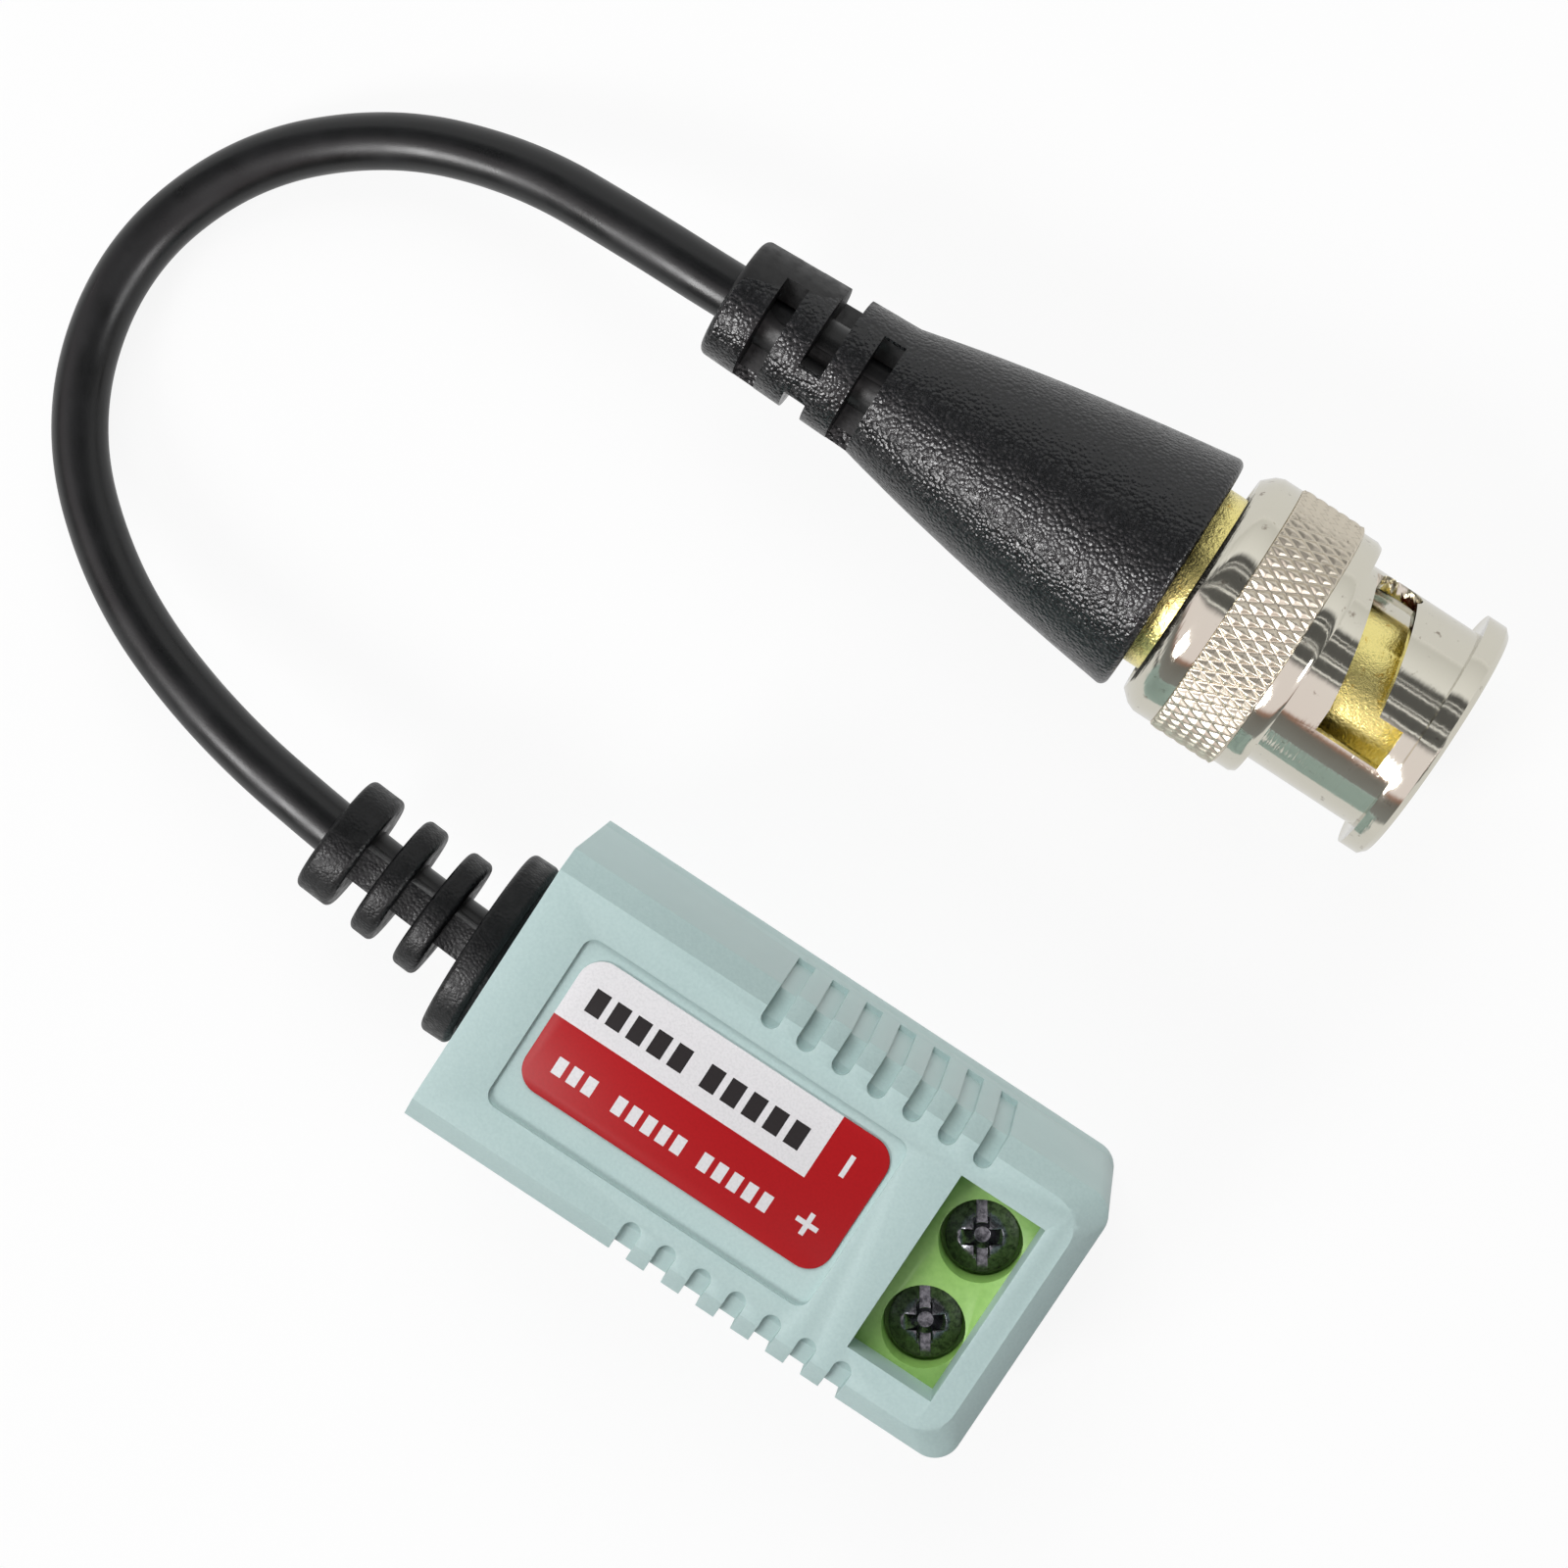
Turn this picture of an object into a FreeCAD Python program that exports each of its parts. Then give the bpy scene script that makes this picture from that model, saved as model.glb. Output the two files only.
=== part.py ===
import FreeCAD, Part
import math
import os

# Video balun with a screw terminal and a short coaxial pigtail.
# Millimetres. The origin is the centre of the housing's base, +Z is up, +X points
# to the terminal end and +Y to the plug, which lies beside the housing.

V = FreeCAD.Vector

# Fits
FIT_GAP = 0.05  # between pieces that sit still in each other
RUN_GAP = 0.08  # between a turning or sliding piece and what guides it
FACE_GAP = 0.05  # between flat faces that slide or turn on each other
THREAD_GAP = 0.05  # between a screw and its nut, on the radius

# Housing
HOUSING_LENGTH = 32.0
HOUSING_WIDTH = 15.9
HOUSING_HEIGHT = 14.2
WALL = 1.4
ROOF = 1.4
EDGE_CHAMFER = 1.1
CORNER_RADIUS = 1.4
CROWN_RADIUS = 1.8  # corners of the flat roof, inside the chamfer
INNER_RADIUS = 0.4  # least corner radius inside
COVER_RIM = 2.0
COVER_FLOOR = 1.0
LIP_THICKNESS = 0.8

# Vent grooves, a row on each side
VENT_COUNT = 7
VENT_PITCH = 2.07
VENT_FIRST_INSET = 12.67  # from the cable end to the first groove
VENT_WIDTH = 1.0
VENT_ROOF_DEPTH = 0.55
VENT_SIDE_DEPTH = 0.31
VENT_TIP_INSET = 2.05  # from the side wall's face to the groove's round tip
VENT_BEND_INSET = 1.6  # from the side wall's face to where the groove's floor bends down
VENT_BEND_DROP = 2.05  # from the roof down to the bend's lower end
VENT_FOOT_Z = 3.4

# Label and its recess
RECESS_LENGTH = 18.9
RECESS_WIDTH = 9.9
RECESS_DEPTH = 0.3
RECESS_RADIUS = 0.7
RECESS_INSET = 12.42  # from the cable end to the recess's middle
LABEL_LENGTH = 18.0
LABEL_WIDTH = 7.55
LABEL_THICKNESS = 0.12
LABEL_RADIUS = 1.3
LABEL_SHIFT = 0.15  # label's middle beyond the recess's middle
LABEL_Y = 0.52

# Terminal window in the roof and wire window in the end wall
WINDOW_LENGTH = 4.9
WINDOW_WIDTH = 10.3
WINDOW_INSET = 4.88  # from the terminal end to the window's middle
WINDOW_Y = -0.05
WINDOW_DEPTH = 2.1
WINDOW_DRAFT = 0.12
COLLAR_WALL = 0.8
WIRE_WINDOW_WIDTH = 9.8
WIRE_WINDOW_HEIGHT = 5.2

# Circuit board
BOARD_THICKNESS = 1.0
BOARD_END_GAP = 4.5  # from the cable end's face to the board's edge
BOARD_STANDOFF = 0.8
PILLAR_DIAMETER = 1.8
SOLDER_LENGTH = 0.6

# Terminal block
POLE_PITCH = 5.2
POLE_COUNT = 2
BLOCK_DEPTH = 7.6
BLOCK_FLOOR = 0.3
BLOCK_EDGE = 0.9
SCREW_INSET = 4.63  # from the terminal end to the screws
BLOCK_Y = -0.12
WELL_DIAMETER = 4.2
CHAMBER_LENGTH = 3.6
CHAMBER_WIDTH = 4.4
WIRE_HOLE_WIDTH = 3.0
FUNNEL_EDGE = 0.35
FUNNEL_DEPTH = 0.6

# Terminal screw
SCREW_DIAMETER = 2.9
HEAD_DIAMETER = 3.7
HEAD_HEIGHT = 1.4
HEAD_DEPTH = 0.9  # from the block's top down to the head
HEAD_DOME = 0.6
SLOT_WIDTH = 0.55
SLOT_DEPTH = 0.6
CROSS_LENGTH = 2.6
CROSS_WIDTH = 0.8
CROSS_DEPTH = 0.85
SLOT_ANGLE = 123.5  # direction of the slot in plan, from +X

# Clamp cage and the tongue that runs through it
CAGE_LENGTH = 3.4
CAGE_WIDTH = 4.2
CAGE_SIDE = 0.6
CAGE_BASE = 0.6
CAGE_CROWN = 0.7
WIRE_GAP = 2.2  # clear height for the wire when the clamp is open
CLAMP_TRAVEL = 1.9
TONGUE_THICKNESS = 0.5
TONGUE_WIDTH = 2.4
TONGUE_CLEARANCE = 0.2
TONGUE_ROOT = 2.9  # from the screw axis back to the solder leg
TONGUE_NOSE = 2.0  # from the screw axis forward to the tongue's end
LEG_THICKNESS = 0.6
LEG_WIDTH = 0.9

# Transformer on the board
CORE_OUTER = 7.0
CORE_INNER = 3.4
CORE_HEIGHT = 3.0
WIRE_DIAMETER = 0.35
WINDING_TURNS = 8
WINDING_ARC = 140.0

# Chip parts on the board: length, width, height
DIODE_SIZE = (4.3, 2.6, 2.1)
DIODE_GAP = 0.5  # from the diodes to the terminal block
DIODE_Y = 2.4
CORE_GAP = 0.6  # from the winding to the diodes
CHIP_LENGTH = 2.0
CHIP_WIDTH = 1.25
CAPACITOR_HEIGHT = 0.95
RESISTOR_HEIGHT = 0.5
CHIP_INSET = 7.4  # from the cable end to the chips
CHIP_Y = 4.0

# Cable and its route, from the housing to the plug
CABLE_DIAMETER = 2.95
CABLE_END_X = -HOUSING_LENGTH / 2
RELIEF_Y = 0.12
RELIEF_Z = 6.8
CABLE_START = V(CABLE_END_X + 2.95, RELIEF_Y, RELIEF_Z)
PLUG_AXIS_Y = 35.1
KNURL_DIAMETER = 14.0
PLUG_AXIS_Z = KNURL_DIAMETER / 2
ROUTE = [
    CABLE_START,
    V(CABLE_END_X - 1.53, RELIEF_Y, RELIEF_Z),
    V(CABLE_END_X - 10.33, RELIEF_Y + 0.6, RELIEF_Z),
    V(-35.5, 1.8, 5.9),
    V(-43.9, 4.5, 4.0),
    V(-50.7, 10.1, 2.2),
    V(-53.0, 18.4, 1.5),
    V(-50.4, 26.3, 1.5),
    V(-44.5, 31.7, 2.2),
    V(-37.5, 34.2, 4.0),
    V(-30.7, 34.6, 6.0),
    V(-24.1, 34.72, PLUG_AXIS_Z),
    V(-15.5, PLUG_AXIS_Y, PLUG_AXIS_Z),
]
ARC_SHARE = 0.45  # of the shorter run that each bend takes
CORE_WIRE_DIAMETER = 1.5
BRAID_DIAMETER = 0.8
FREE_WIRE = 1.3  # straight ends of the core and braid past the jacket
WIRE_DROP = 2.0  # their upright run onto the board
WIRE_FOOT_INSET = 5.6  # from the cable end's face to where they meet the board

# Strain relief on the housing
PLATE_DIAMETER = 10.6
PLATE_THICKNESS = 1.65
BOSS_DIAMETER = 9.4
BOSS_THICKNESS = 0.4  # stands the plate off the wall
NECK_DIAMETER = 6.0
INNER_FLANGE_DIAMETER = 7.7
INNER_FLANGE_THICKNESS = 1.5
RIB_DIAMETERS = (6.95, 6.8)
RIB_THICKNESS = 1.4
RIB_PITCH = 2.75
FIRST_RIB = 2.21  # from the plate's outer face to the middle of the first rib
END_COLLAR_DIAMETER = 6.62
END_COLLAR_THICKNESS = 2.1
END_COLLAR_GAP = 3.1  # from the last rib's middle to the collar's middle
RIB_ROUND = 0.35
SPINE_WIDTH = 1.83
SPINE_RADIUS = 2.95

# Plug: stations are distances behind the front face of the coupling sleeve
PLUG_FRONT_X = 16.72
FLANGE_THICKNESS = 1.32
FLANGE_DIAMETER = 13.4
BARREL_DIAMETER = 11.35
BARREL_END = 7.59
KNURL_FRONT = 8.73
KNURL_REAR = 12.43
SLEEVE_LENGTH = 14.43
FRONT_BAND_DIAMETER = 13.5
REAR_BAND_DIAMETER = 13.7
REAR_EDGE = ((1.0, 0.0), (0.56, 0.18), (0.0, 0.7))  # rounded edge: distance from the end, drop
FLANGE_BEVEL = 0.3
FRONT_BORE = 9.8
SHOULDER = 9.0
CHAMBER_BORE = 11.5

# Bayonet slots in the sleeve
LUG_DIAMETER = 2.0
LUG_CLEARANCE = 0.3
SLOT_START = -13.5  # angle of the entry channel from the top towards +Y, degrees
SLOT_SWEEP = 90.0
SLOT_MIDDLE = 5.23  # station of the ramp's middle
SLOT_SLOPE = 10.8  # tilt of the ramp, degrees
ENTRY_BACK = 2.1  # how far the closed channel runs under the flange
CHANNEL_RADIUS = 5.35
DETENT_STEP = 0.3
SLOT_COUNT = 2

# Plug body and what it carries
BODY_DIAMETER = 9.95
BODY_REAR = 16.7
CUP_DIAMETER = 6.6
CUP_END = 23.1
COLLAR_DIAMETER = 11.3
COLLAR_THICKNESS = 0.9
SPIGOT_LENGTH = 2.0
BODY_BORE = 4.8
CUP_BORE = 2.6
BORE_STEP = 16.1
CONTACT_DIAMETER = 8.1
CONTACT_WALL = 0.5
CONTACT_RECESS = 0.5
CONTACT_SLITS = 4
SLIT_WIDTH = 0.5
SLIT_LENGTH = 3.2
INSULATOR_RECESS = 4.9
PIN_DIAMETER = 1.35
PIN_SHANK_DIAMETER = 1.8
PIN_RECESS = 0.9
PIN_TIP = 0.4  # bevel of the tip
PIN_CUP_DIAMETER = 2.2
PIN_CUP_FRONT = 17.3
PIN_CUP_END = 21.6
GASKET_DIAMETER = 9.6
GASKET_THICKNESS = 0.8
WASHER_OUTER = 11.3
WASHER_THICKNESS = 0.5
SLEEVE_PLAY = 0.4
DISH_THICKNESS = 0.25
DISH_HEIGHT = 0.5
RING_LENGTH = 2.3

# Overmould of the plug
MOULD_FRONT = 15.4
MOULD_DIAMETER = 13.26
BELL_STATIONS = (21.35, 27.35)  # where the bell's curve is given
BELL_DIAMETERS = (11.53, 9.4)
CONE_REAR = 32.5
CONE_DIAMETER = 7.15
TAIL_END = 41.45
TAIL_DIAMETER = 6.5
MOULD_ROUND = 0.4
MOULD_YAW = 0.8  # the soft moulding leans a little towards the housing, degrees
TAIL_SLOT_WIDTH = 1.25
TAIL_SLOTS = (2.7, 5.5, 8.3)  # middles, from the tail's end
BRIDGE_ANGLES = (65.0, -34.0, 65.0)
BRIDGE_HALF_WIDTHS = (22.0, 15.0, 22.0)

# Places worked out from the sizes above
BOARD_BOTTOM = COVER_FLOOR + BOARD_STANDOFF
BOARD_TOP = BOARD_BOTTOM + BOARD_THICKNESS
BLOCK_TOP = HOUSING_HEIGHT - WINDOW_DEPTH
BLOCK_WIDTH = POLE_COUNT * POLE_PITCH
BLOCK_FRONT = HOUSING_LENGTH / 2 - WALL - FIT_GAP
BLOCK_BACK = BLOCK_FRONT - BLOCK_DEPTH
SCREW_X = HOUSING_LENGTH / 2 - SCREW_INSET
WINDOW_X = HOUSING_LENGTH / 2 - WINDOW_INSET
RECESS_X = CABLE_END_X + RECESS_INSET
CHIP_X = CABLE_END_X + CHIP_INSET
DIODE_X = BLOCK_BACK - DIODE_GAP - DIODE_SIZE[0] / 2
CORE_X = DIODE_X - DIODE_SIZE[0] / 2 - CORE_GAP - WIRE_DIAMETER - CORE_OUTER / 2
CAGE_Z = BOARD_TOP + BLOCK_FLOOR + FACE_GAP
TONGUE_Z = CAGE_Z + CAGE_BASE + WIRE_GAP
TONGUE_TOP = TONGUE_Z + TONGUE_THICKNESS
CROWN_Z = TONGUE_TOP + TONGUE_CLEARANCE
CAGE_TOP = CROWN_Z + CAGE_CROWN
CHAMBER_TOP = CAGE_TOP + CLAMP_TRAVEL + 2 * FACE_GAP
HEAD_TOP = BLOCK_TOP - HEAD_DEPTH
HEAD_Z = HEAD_TOP - HEAD_HEIGHT
LIP_INSET = WALL + FIT_GAP + LIP_THICKNESS
CORE_Z = BOARD_TOP + WIRE_DIAMETER + FIT_GAP
PLATE_X = CABLE_END_X - BOSS_THICKNESS - PLATE_THICKNESS
RELIEF_TILT = math.degrees(math.atan2(ROUTE[2].y - ROUTE[1].y, ROUTE[1].x - ROUTE[2].x))
COLLAR_FRONT = SHOULDER + FACE_GAP
COLLAR_REAR = COLLAR_FRONT + COLLAR_THICKNESS
WASHER_FRONT = COLLAR_REAR + DISH_HEIGHT + SLEEVE_PLAY + FACE_GAP
RING_FRONT = WASHER_FRONT + WASHER_THICKNESS + FACE_GAP
SLOT_WIDTH_BAYONET = LUG_DIAMETER + LUG_CLEARANCE


# Basic solids


def box(low, high):
    """Box between two corners."""
    size = high.sub(low)
    return Part.makeBox(size.x, size.y, size.z, low)


def plate(x, y, length, width, radius, z0, z1):
    """Rounded rectangle about (x, y), from z0 up to z1."""
    slab = Part.makeBox(length, width, z1 - z0, V(x - length / 2, y - width / 2, z0))
    upright = [e for e in slab.Edges if abs(e.Vertexes[0].Z - e.Vertexes[1].Z) > 1e-6]
    return slab.makeFillet(radius, upright)


def upright(radius, z0, z1, x, y):
    """Cylinder along Z."""
    return Part.makeCylinder(radius, z1 - z0, V(x, y, z0))


def turned(profile, y, z):
    """Solid of revolution about the line along X through (y, z); profile is (x, radius) points."""
    points = [V(x, y, z + r) for x, r in profile]
    return Part.Face(Part.makePolygon(points + points[:1])).revolve(V(0, y, z), V(1, 0, 0), 360)


def station(distance):
    """X of a station of the plug, given behind the sleeve's front face."""
    return PLUG_FRONT_X - distance


def plug_turned(profile):
    """Solid of revolution on the plug's axis; profile is (station, radius) points."""
    return turned([(station(d), r) for d, r in profile], PLUG_AXIS_Y, PLUG_AXIS_Z)


def plug_ring(front, rear, outer, inner):
    """Plain ring on the plug's axis, between two stations, given its radii."""
    return plug_turned([(front, inner), (front, outer), (rear, outer), (rear, inner)])


def plug_rod(front, rear, radius):
    """Plain rod on the plug's axis between two stations."""
    return plug_turned([(front, 0), (front, radius), (rear, radius), (rear, 0)])


def spoke(angle, reach):
    """Point in the plug's cross plane at an angle from the top towards +Y."""
    turn = math.radians(angle)
    return V(0, PLUG_AXIS_Y + reach * math.sin(turn), PLUG_AXIS_Z + reach * math.cos(turn))


def wedge(middle, half_width, front, rear):
    """Wedge on the plug's axis that holds all angles within half_width of the middle."""
    reach = KNURL_DIAMETER
    outer = reach / math.cos(math.radians(half_width / 2))
    points = [
        spoke(0, 0),
        spoke(middle - half_width, outer),
        spoke(middle - half_width / 2, outer),
        spoke(middle, outer),
        spoke(middle + half_width / 2, outer),
        spoke(middle + half_width, outer),
    ]
    face = Part.Face(Part.makePolygon(points + points[:1]))
    face.translate(V(station(rear), 0, 0))
    return face.extrude(V(rear - front, 0, 0))


def radial_box(angle, width, inner, outer, front, rear):
    """Box on the plug's axis that reaches from one radius to another along an angle."""
    block = box(
        V(station(rear), PLUG_AXIS_Y - width / 2, PLUG_AXIS_Z + inner),
        V(station(front), PLUG_AXIS_Y + width / 2, PLUG_AXIS_Z + outer),
    )
    block.rotate(V(0, PLUG_AXIS_Y, PLUG_AXIS_Z), V(1, 0, 0), -angle)
    return block


# Cords


def rounded_path(points, label=""):
    """Straight runs through the points, joined by tangent arcs; prints the arc radii."""
    edges = []
    radii = []
    start = points[0]
    for before, corner, after in zip(points, points[1:], points[2:]):
        back = before.sub(corner)
        ahead = after.sub(corner)
        reach = ARC_SHARE * min(back.Length, ahead.Length)
        back.normalize()
        ahead.normalize()
        enter = corner.add(back * reach)
        leave = corner.add(ahead * reach)
        half_turn = (math.pi - back.getAngle(ahead)) / 2
        radius = reach / math.tan(half_turn)
        inward = back.add(ahead)
        inward.normalize()
        middle = corner.add(inward * (radius / math.cos(half_turn) - radius))
        edges.append(Part.LineSegment(start, enter).toShape())
        edges.append(Part.Arc(enter, middle, leave).toShape())
        radii.append(round(radius, 1))
        start = leave
    edges.append(Part.LineSegment(start, points[-1]).toShape())
    if label:
        print(label, "bend radii", radii)
    return Part.Wire(edges)


def tube(points, diameter, label=""):
    """Round rod along the rounded path through the points."""
    path = rounded_path(points, label)
    along = points[1].sub(points[0])
    ring = Part.Wire(Part.makeCircle(diameter / 2, points[0], along))
    solid = path.makePipeShell([ring], True, True)
    if label:
        expected = math.pi * diameter**2 / 4 * path.Length
        print(label, "length", round(path.Length, 2), "volume", round(solid.Volume / expected, 4))
    return solid


def cable_bore():
    """Room for the cable where it runs through the strain relief and the plug's tail."""
    return tube(ROUTE, CABLE_DIAMETER + 2 * FIT_GAP)


# Housing


def housing_wire(z, inset, end_inset, radius):
    """Plan of the housing at a height: square at the cable end, rounded at the other."""
    left = CABLE_END_X + end_inset
    right = HOUSING_LENGTH / 2 - inset
    side = HOUSING_WIDTH / 2 - inset
    diagonal = radius * (1 - math.sqrt(0.5))
    near_a, near_b = V(right - radius, -side, z), V(right, -side + radius, z)
    far_a, far_b = V(right, side - radius, z), V(right - radius, side, z)
    near_middle = V(right - diagonal, -side + diagonal, z)
    far_middle = V(right - diagonal, side - diagonal, z)
    edges = [
        Part.LineSegment(V(left, -side, z), near_a).toShape(),
        Part.Arc(near_a, near_middle, near_b).toShape(),
        Part.LineSegment(near_b, far_a).toShape(),
        Part.Arc(far_a, far_middle, far_b).toShape(),
        Part.LineSegment(far_b, V(left, side, z)).toShape(),
        Part.LineSegment(V(left, side, z), V(left, -side, z)).toShape(),
    ]
    return Part.Wire(edges)


def housing_slab(inset, z0, z1):
    """Block with the housing's plan drawn in by inset, from z0 up to z1."""
    radius = max(CORNER_RADIUS - inset, INNER_RADIUS)
    return Part.Face(housing_wire(z0, inset, inset, radius)).extrude(V(0, 0, z1 - z0))


def housing_crown():
    """Top of the housing: chamfered along the sides and the terminal end, upright at the other."""
    foot = housing_wire(HOUSING_HEIGHT - EDGE_CHAMFER, 0, 0, CORNER_RADIUS)
    roof = housing_wire(HOUSING_HEIGHT, EDGE_CHAMFER, 0, CROWN_RADIUS)
    return Part.makeLoft([foot, roof], True, True)


def vent_groove(x):
    """Cutter for one blind groove on the +Y side, from the roof over the chamfer and down."""
    side = HOUSING_WIDTH / 2
    floor = HOUSING_HEIGHT - VENT_ROOF_DEPTH
    tip = side - VENT_TIP_INSET
    start = x - VENT_WIDTH / 2
    section = [
        V(start, tip, HOUSING_HEIGHT + 1),
        V(start, tip, floor),
        V(start, side - VENT_BEND_INSET, floor),
        V(start, side - VENT_SIDE_DEPTH, HOUSING_HEIGHT - VENT_BEND_DROP),
        V(start, side - VENT_SIDE_DEPTH, VENT_FOOT_Z),
        V(start, side + 1, VENT_FOOT_Z),
        V(start, side + 1, HOUSING_HEIGHT + 1),
    ]
    groove = Part.Face(Part.makePolygon(section + section[:1])).extrude(V(VENT_WIDTH, 0, 0))
    tip_y = tip + VENT_WIDTH / 2
    plan = upright(VENT_WIDTH / 2, 0, HOUSING_HEIGHT + 2, x, tip_y)
    plan = plan.fuse(box(V(start, tip_y, 0), V(start + VENT_WIDTH, side + 2, HOUSING_HEIGHT + 2)))
    return groove.common(plan)


def window(grow, z0, z1):
    """Block in plan under the terminal window, grown on all sides."""
    half_x = WINDOW_LENGTH / 2 + grow
    half_y = WINDOW_WIDTH / 2 + grow
    return box(
        V(WINDOW_X - half_x, WINDOW_Y - half_y, z0), V(WINDOW_X + half_x, WINDOW_Y + half_y, z1)
    )


def window_cutter():
    """Terminal window, a little wider at the top."""
    wires = []
    for grow, z in ((0.0, BLOCK_TOP), (WINDOW_DRAFT, HOUSING_HEIGHT)):
        half_x = WINDOW_LENGTH / 2 - WINDOW_DRAFT + grow
        half_y = WINDOW_WIDTH / 2 - WINDOW_DRAFT + grow
        corners = [
            V(WINDOW_X - half_x, WINDOW_Y - half_y, z),
            V(WINDOW_X + half_x, WINDOW_Y - half_y, z),
            V(WINDOW_X + half_x, WINDOW_Y + half_y, z),
            V(WINDOW_X - half_x, WINDOW_Y + half_y, z),
        ]
        wires.append(Part.makePolygon(corners + corners[:1]))
    return Part.makeLoft(wires, True, True)


def relief_seat(gap):
    """Slot in the cable end's wall for the strain relief's neck, open at the bottom."""
    radius = NECK_DIAMETER / 2 + gap
    x0 = CABLE_END_X - 1
    x1 = CABLE_END_X + WALL + 1
    hole = Part.makeCylinder(radius, x1 - x0, V(x0, RELIEF_Y, RELIEF_Z), V(1, 0, 0))
    return hole.fuse(box(V(x0, RELIEF_Y - radius, 0), V(x1, RELIEF_Y + radius, RELIEF_Z)))


def housing_shell():
    shell = housing_slab(0, COVER_RIM, HOUSING_HEIGHT - EDGE_CHAMFER).fuse(housing_crown())
    shell = shell.cut(housing_slab(WALL, COVER_RIM, HOUSING_HEIGHT - ROOF)).removeSplitter()
    shell = shell.fuse(window(COLLAR_WALL, BLOCK_TOP, HOUSING_HEIGHT - ROOF))
    shell = shell.cut(window_cutter())
    recess_floor = HOUSING_HEIGHT - RECESS_DEPTH
    cutters = [
        plate(RECESS_X, 0, RECESS_LENGTH, RECESS_WIDTH, RECESS_RADIUS, recess_floor, HOUSING_HEIGHT),
        relief_seat(FIT_GAP),
        box(
            V(HOUSING_LENGTH / 2 - WALL - 1, -WIRE_WINDOW_WIDTH / 2, BOARD_TOP + BLOCK_FLOOR),
            V(
                HOUSING_LENGTH / 2 + 1,
                WIRE_WINDOW_WIDTH / 2,
                BOARD_TOP + BLOCK_FLOOR + WIRE_WINDOW_HEIGHT,
            ),
        ),
    ]
    for index in range(VENT_COUNT):
        groove = vent_groove(CABLE_END_X + VENT_FIRST_INSET + index * VENT_PITCH)
        cutters += [groove, groove.mirror(V(0, 0, 0), V(0, 1, 0))]
    return shell.cut(cutters)


def bottom_cover():
    cover = housing_slab(0, 0, COVER_RIM)
    cover = cover.fuse(housing_slab(WALL + FIT_GAP, COVER_RIM, BOARD_TOP))
    cover = cover.cut(housing_slab(LIP_INSET, COVER_FLOOR, BOARD_TOP))
    half = NECK_DIAMETER / 2
    tongue = box(
        V(CABLE_END_X, RELIEF_Y - half, COVER_RIM),
        V(CABLE_END_X + WALL, RELIEF_Y + half, RELIEF_Z - FIT_GAP),
    )
    seat_centre = V(CABLE_END_X, RELIEF_Y, RELIEF_Z)
    seat = Part.makeCylinder(half + FIT_GAP, WALL, seat_centre, V(1, 0, 0))
    pieces = [tongue.cut(seat)]
    inset = PILLAR_DIAMETER / 2
    side = HOUSING_WIDTH / 2 - LIP_INSET - FIT_GAP - inset
    near = CABLE_END_X + BOARD_END_GAP + inset
    far = HOUSING_LENGTH / 2 - LIP_INSET - FIT_GAP - inset
    for x in (near, far):
        for y in (-side, side):
            pieces.append(upright(PILLAR_DIAMETER / 2, COVER_FLOOR, BOARD_BOTTOM, x, y))
    return cover.fuse(pieces)


def printed_label():
    base = HOUSING_HEIGHT - RECESS_DEPTH
    x = RECESS_X + LABEL_SHIFT
    top = base + LABEL_THICKNESS
    return plate(x, LABEL_Y, LABEL_LENGTH, LABEL_WIDTH, LABEL_RADIUS, base, top)


# Strain relief


def relief_rod(diameter, x0, x1):
    """Plain rod on the strain relief's axis."""
    return Part.makeCylinder(diameter / 2, x1 - x0, V(x0, RELIEF_Y, RELIEF_Z), V(1, 0, 0))


def rounded_disc(diameter, thickness, x):
    """Disc with rounded rims on the strain relief's axis; x is its middle."""
    disc = relief_rod(diameter, x - thickness / 2, x + thickness / 2)
    rims = [e for e in disc.Edges if e.BoundBox.XLength < 1e-6]
    return disc.makeFillet(RIB_ROUND, rims)


def strain_relief():
    tail = []
    x = PLATE_X - FIRST_RIB
    for diameter in RIB_DIAMETERS:
        tail.append(rounded_disc(diameter, RIB_THICKNESS, x))
        x -= RIB_PITCH
    collar_x = x + RIB_PITCH - END_COLLAR_GAP
    tail.append(rounded_disc(END_COLLAR_DIAMETER, END_COLLAR_THICKNESS, collar_x))
    spine = box(
        V(collar_x, RELIEF_Y - SPINE_WIDTH / 2, RELIEF_Z - SPINE_RADIUS),
        V(PLATE_X + PLATE_THICKNESS / 2, RELIEF_Y + SPINE_WIDTH / 2, RELIEF_Z + SPINE_RADIUS),
    )
    tail.append(spine)
    for piece in tail:
        piece.rotate(ROUTE[1], V(0, 0, 1), -RELIEF_TILT)
    inner_x = CABLE_END_X + WALL
    body = [
        relief_rod(BOSS_DIAMETER, PLATE_X + PLATE_THICKNESS / 2, CABLE_END_X),
        relief_rod(NECK_DIAMETER, CABLE_END_X, inner_x),
        relief_rod(INNER_FLANGE_DIAMETER, inner_x, inner_x + INNER_FLANGE_THICKNESS),
    ]
    outer = rounded_disc(PLATE_DIAMETER, PLATE_THICKNESS, PLATE_X + PLATE_THICKNESS / 2)
    return outer.fuse(body + tail).cut(cable_bore())


# Board and what it carries


def pole_centres():
    """Y of each terminal pole."""
    first = BLOCK_Y - POLE_PITCH * (POLE_COUNT - 1) / 2
    return [first + index * POLE_PITCH for index in range(POLE_COUNT)]


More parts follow.
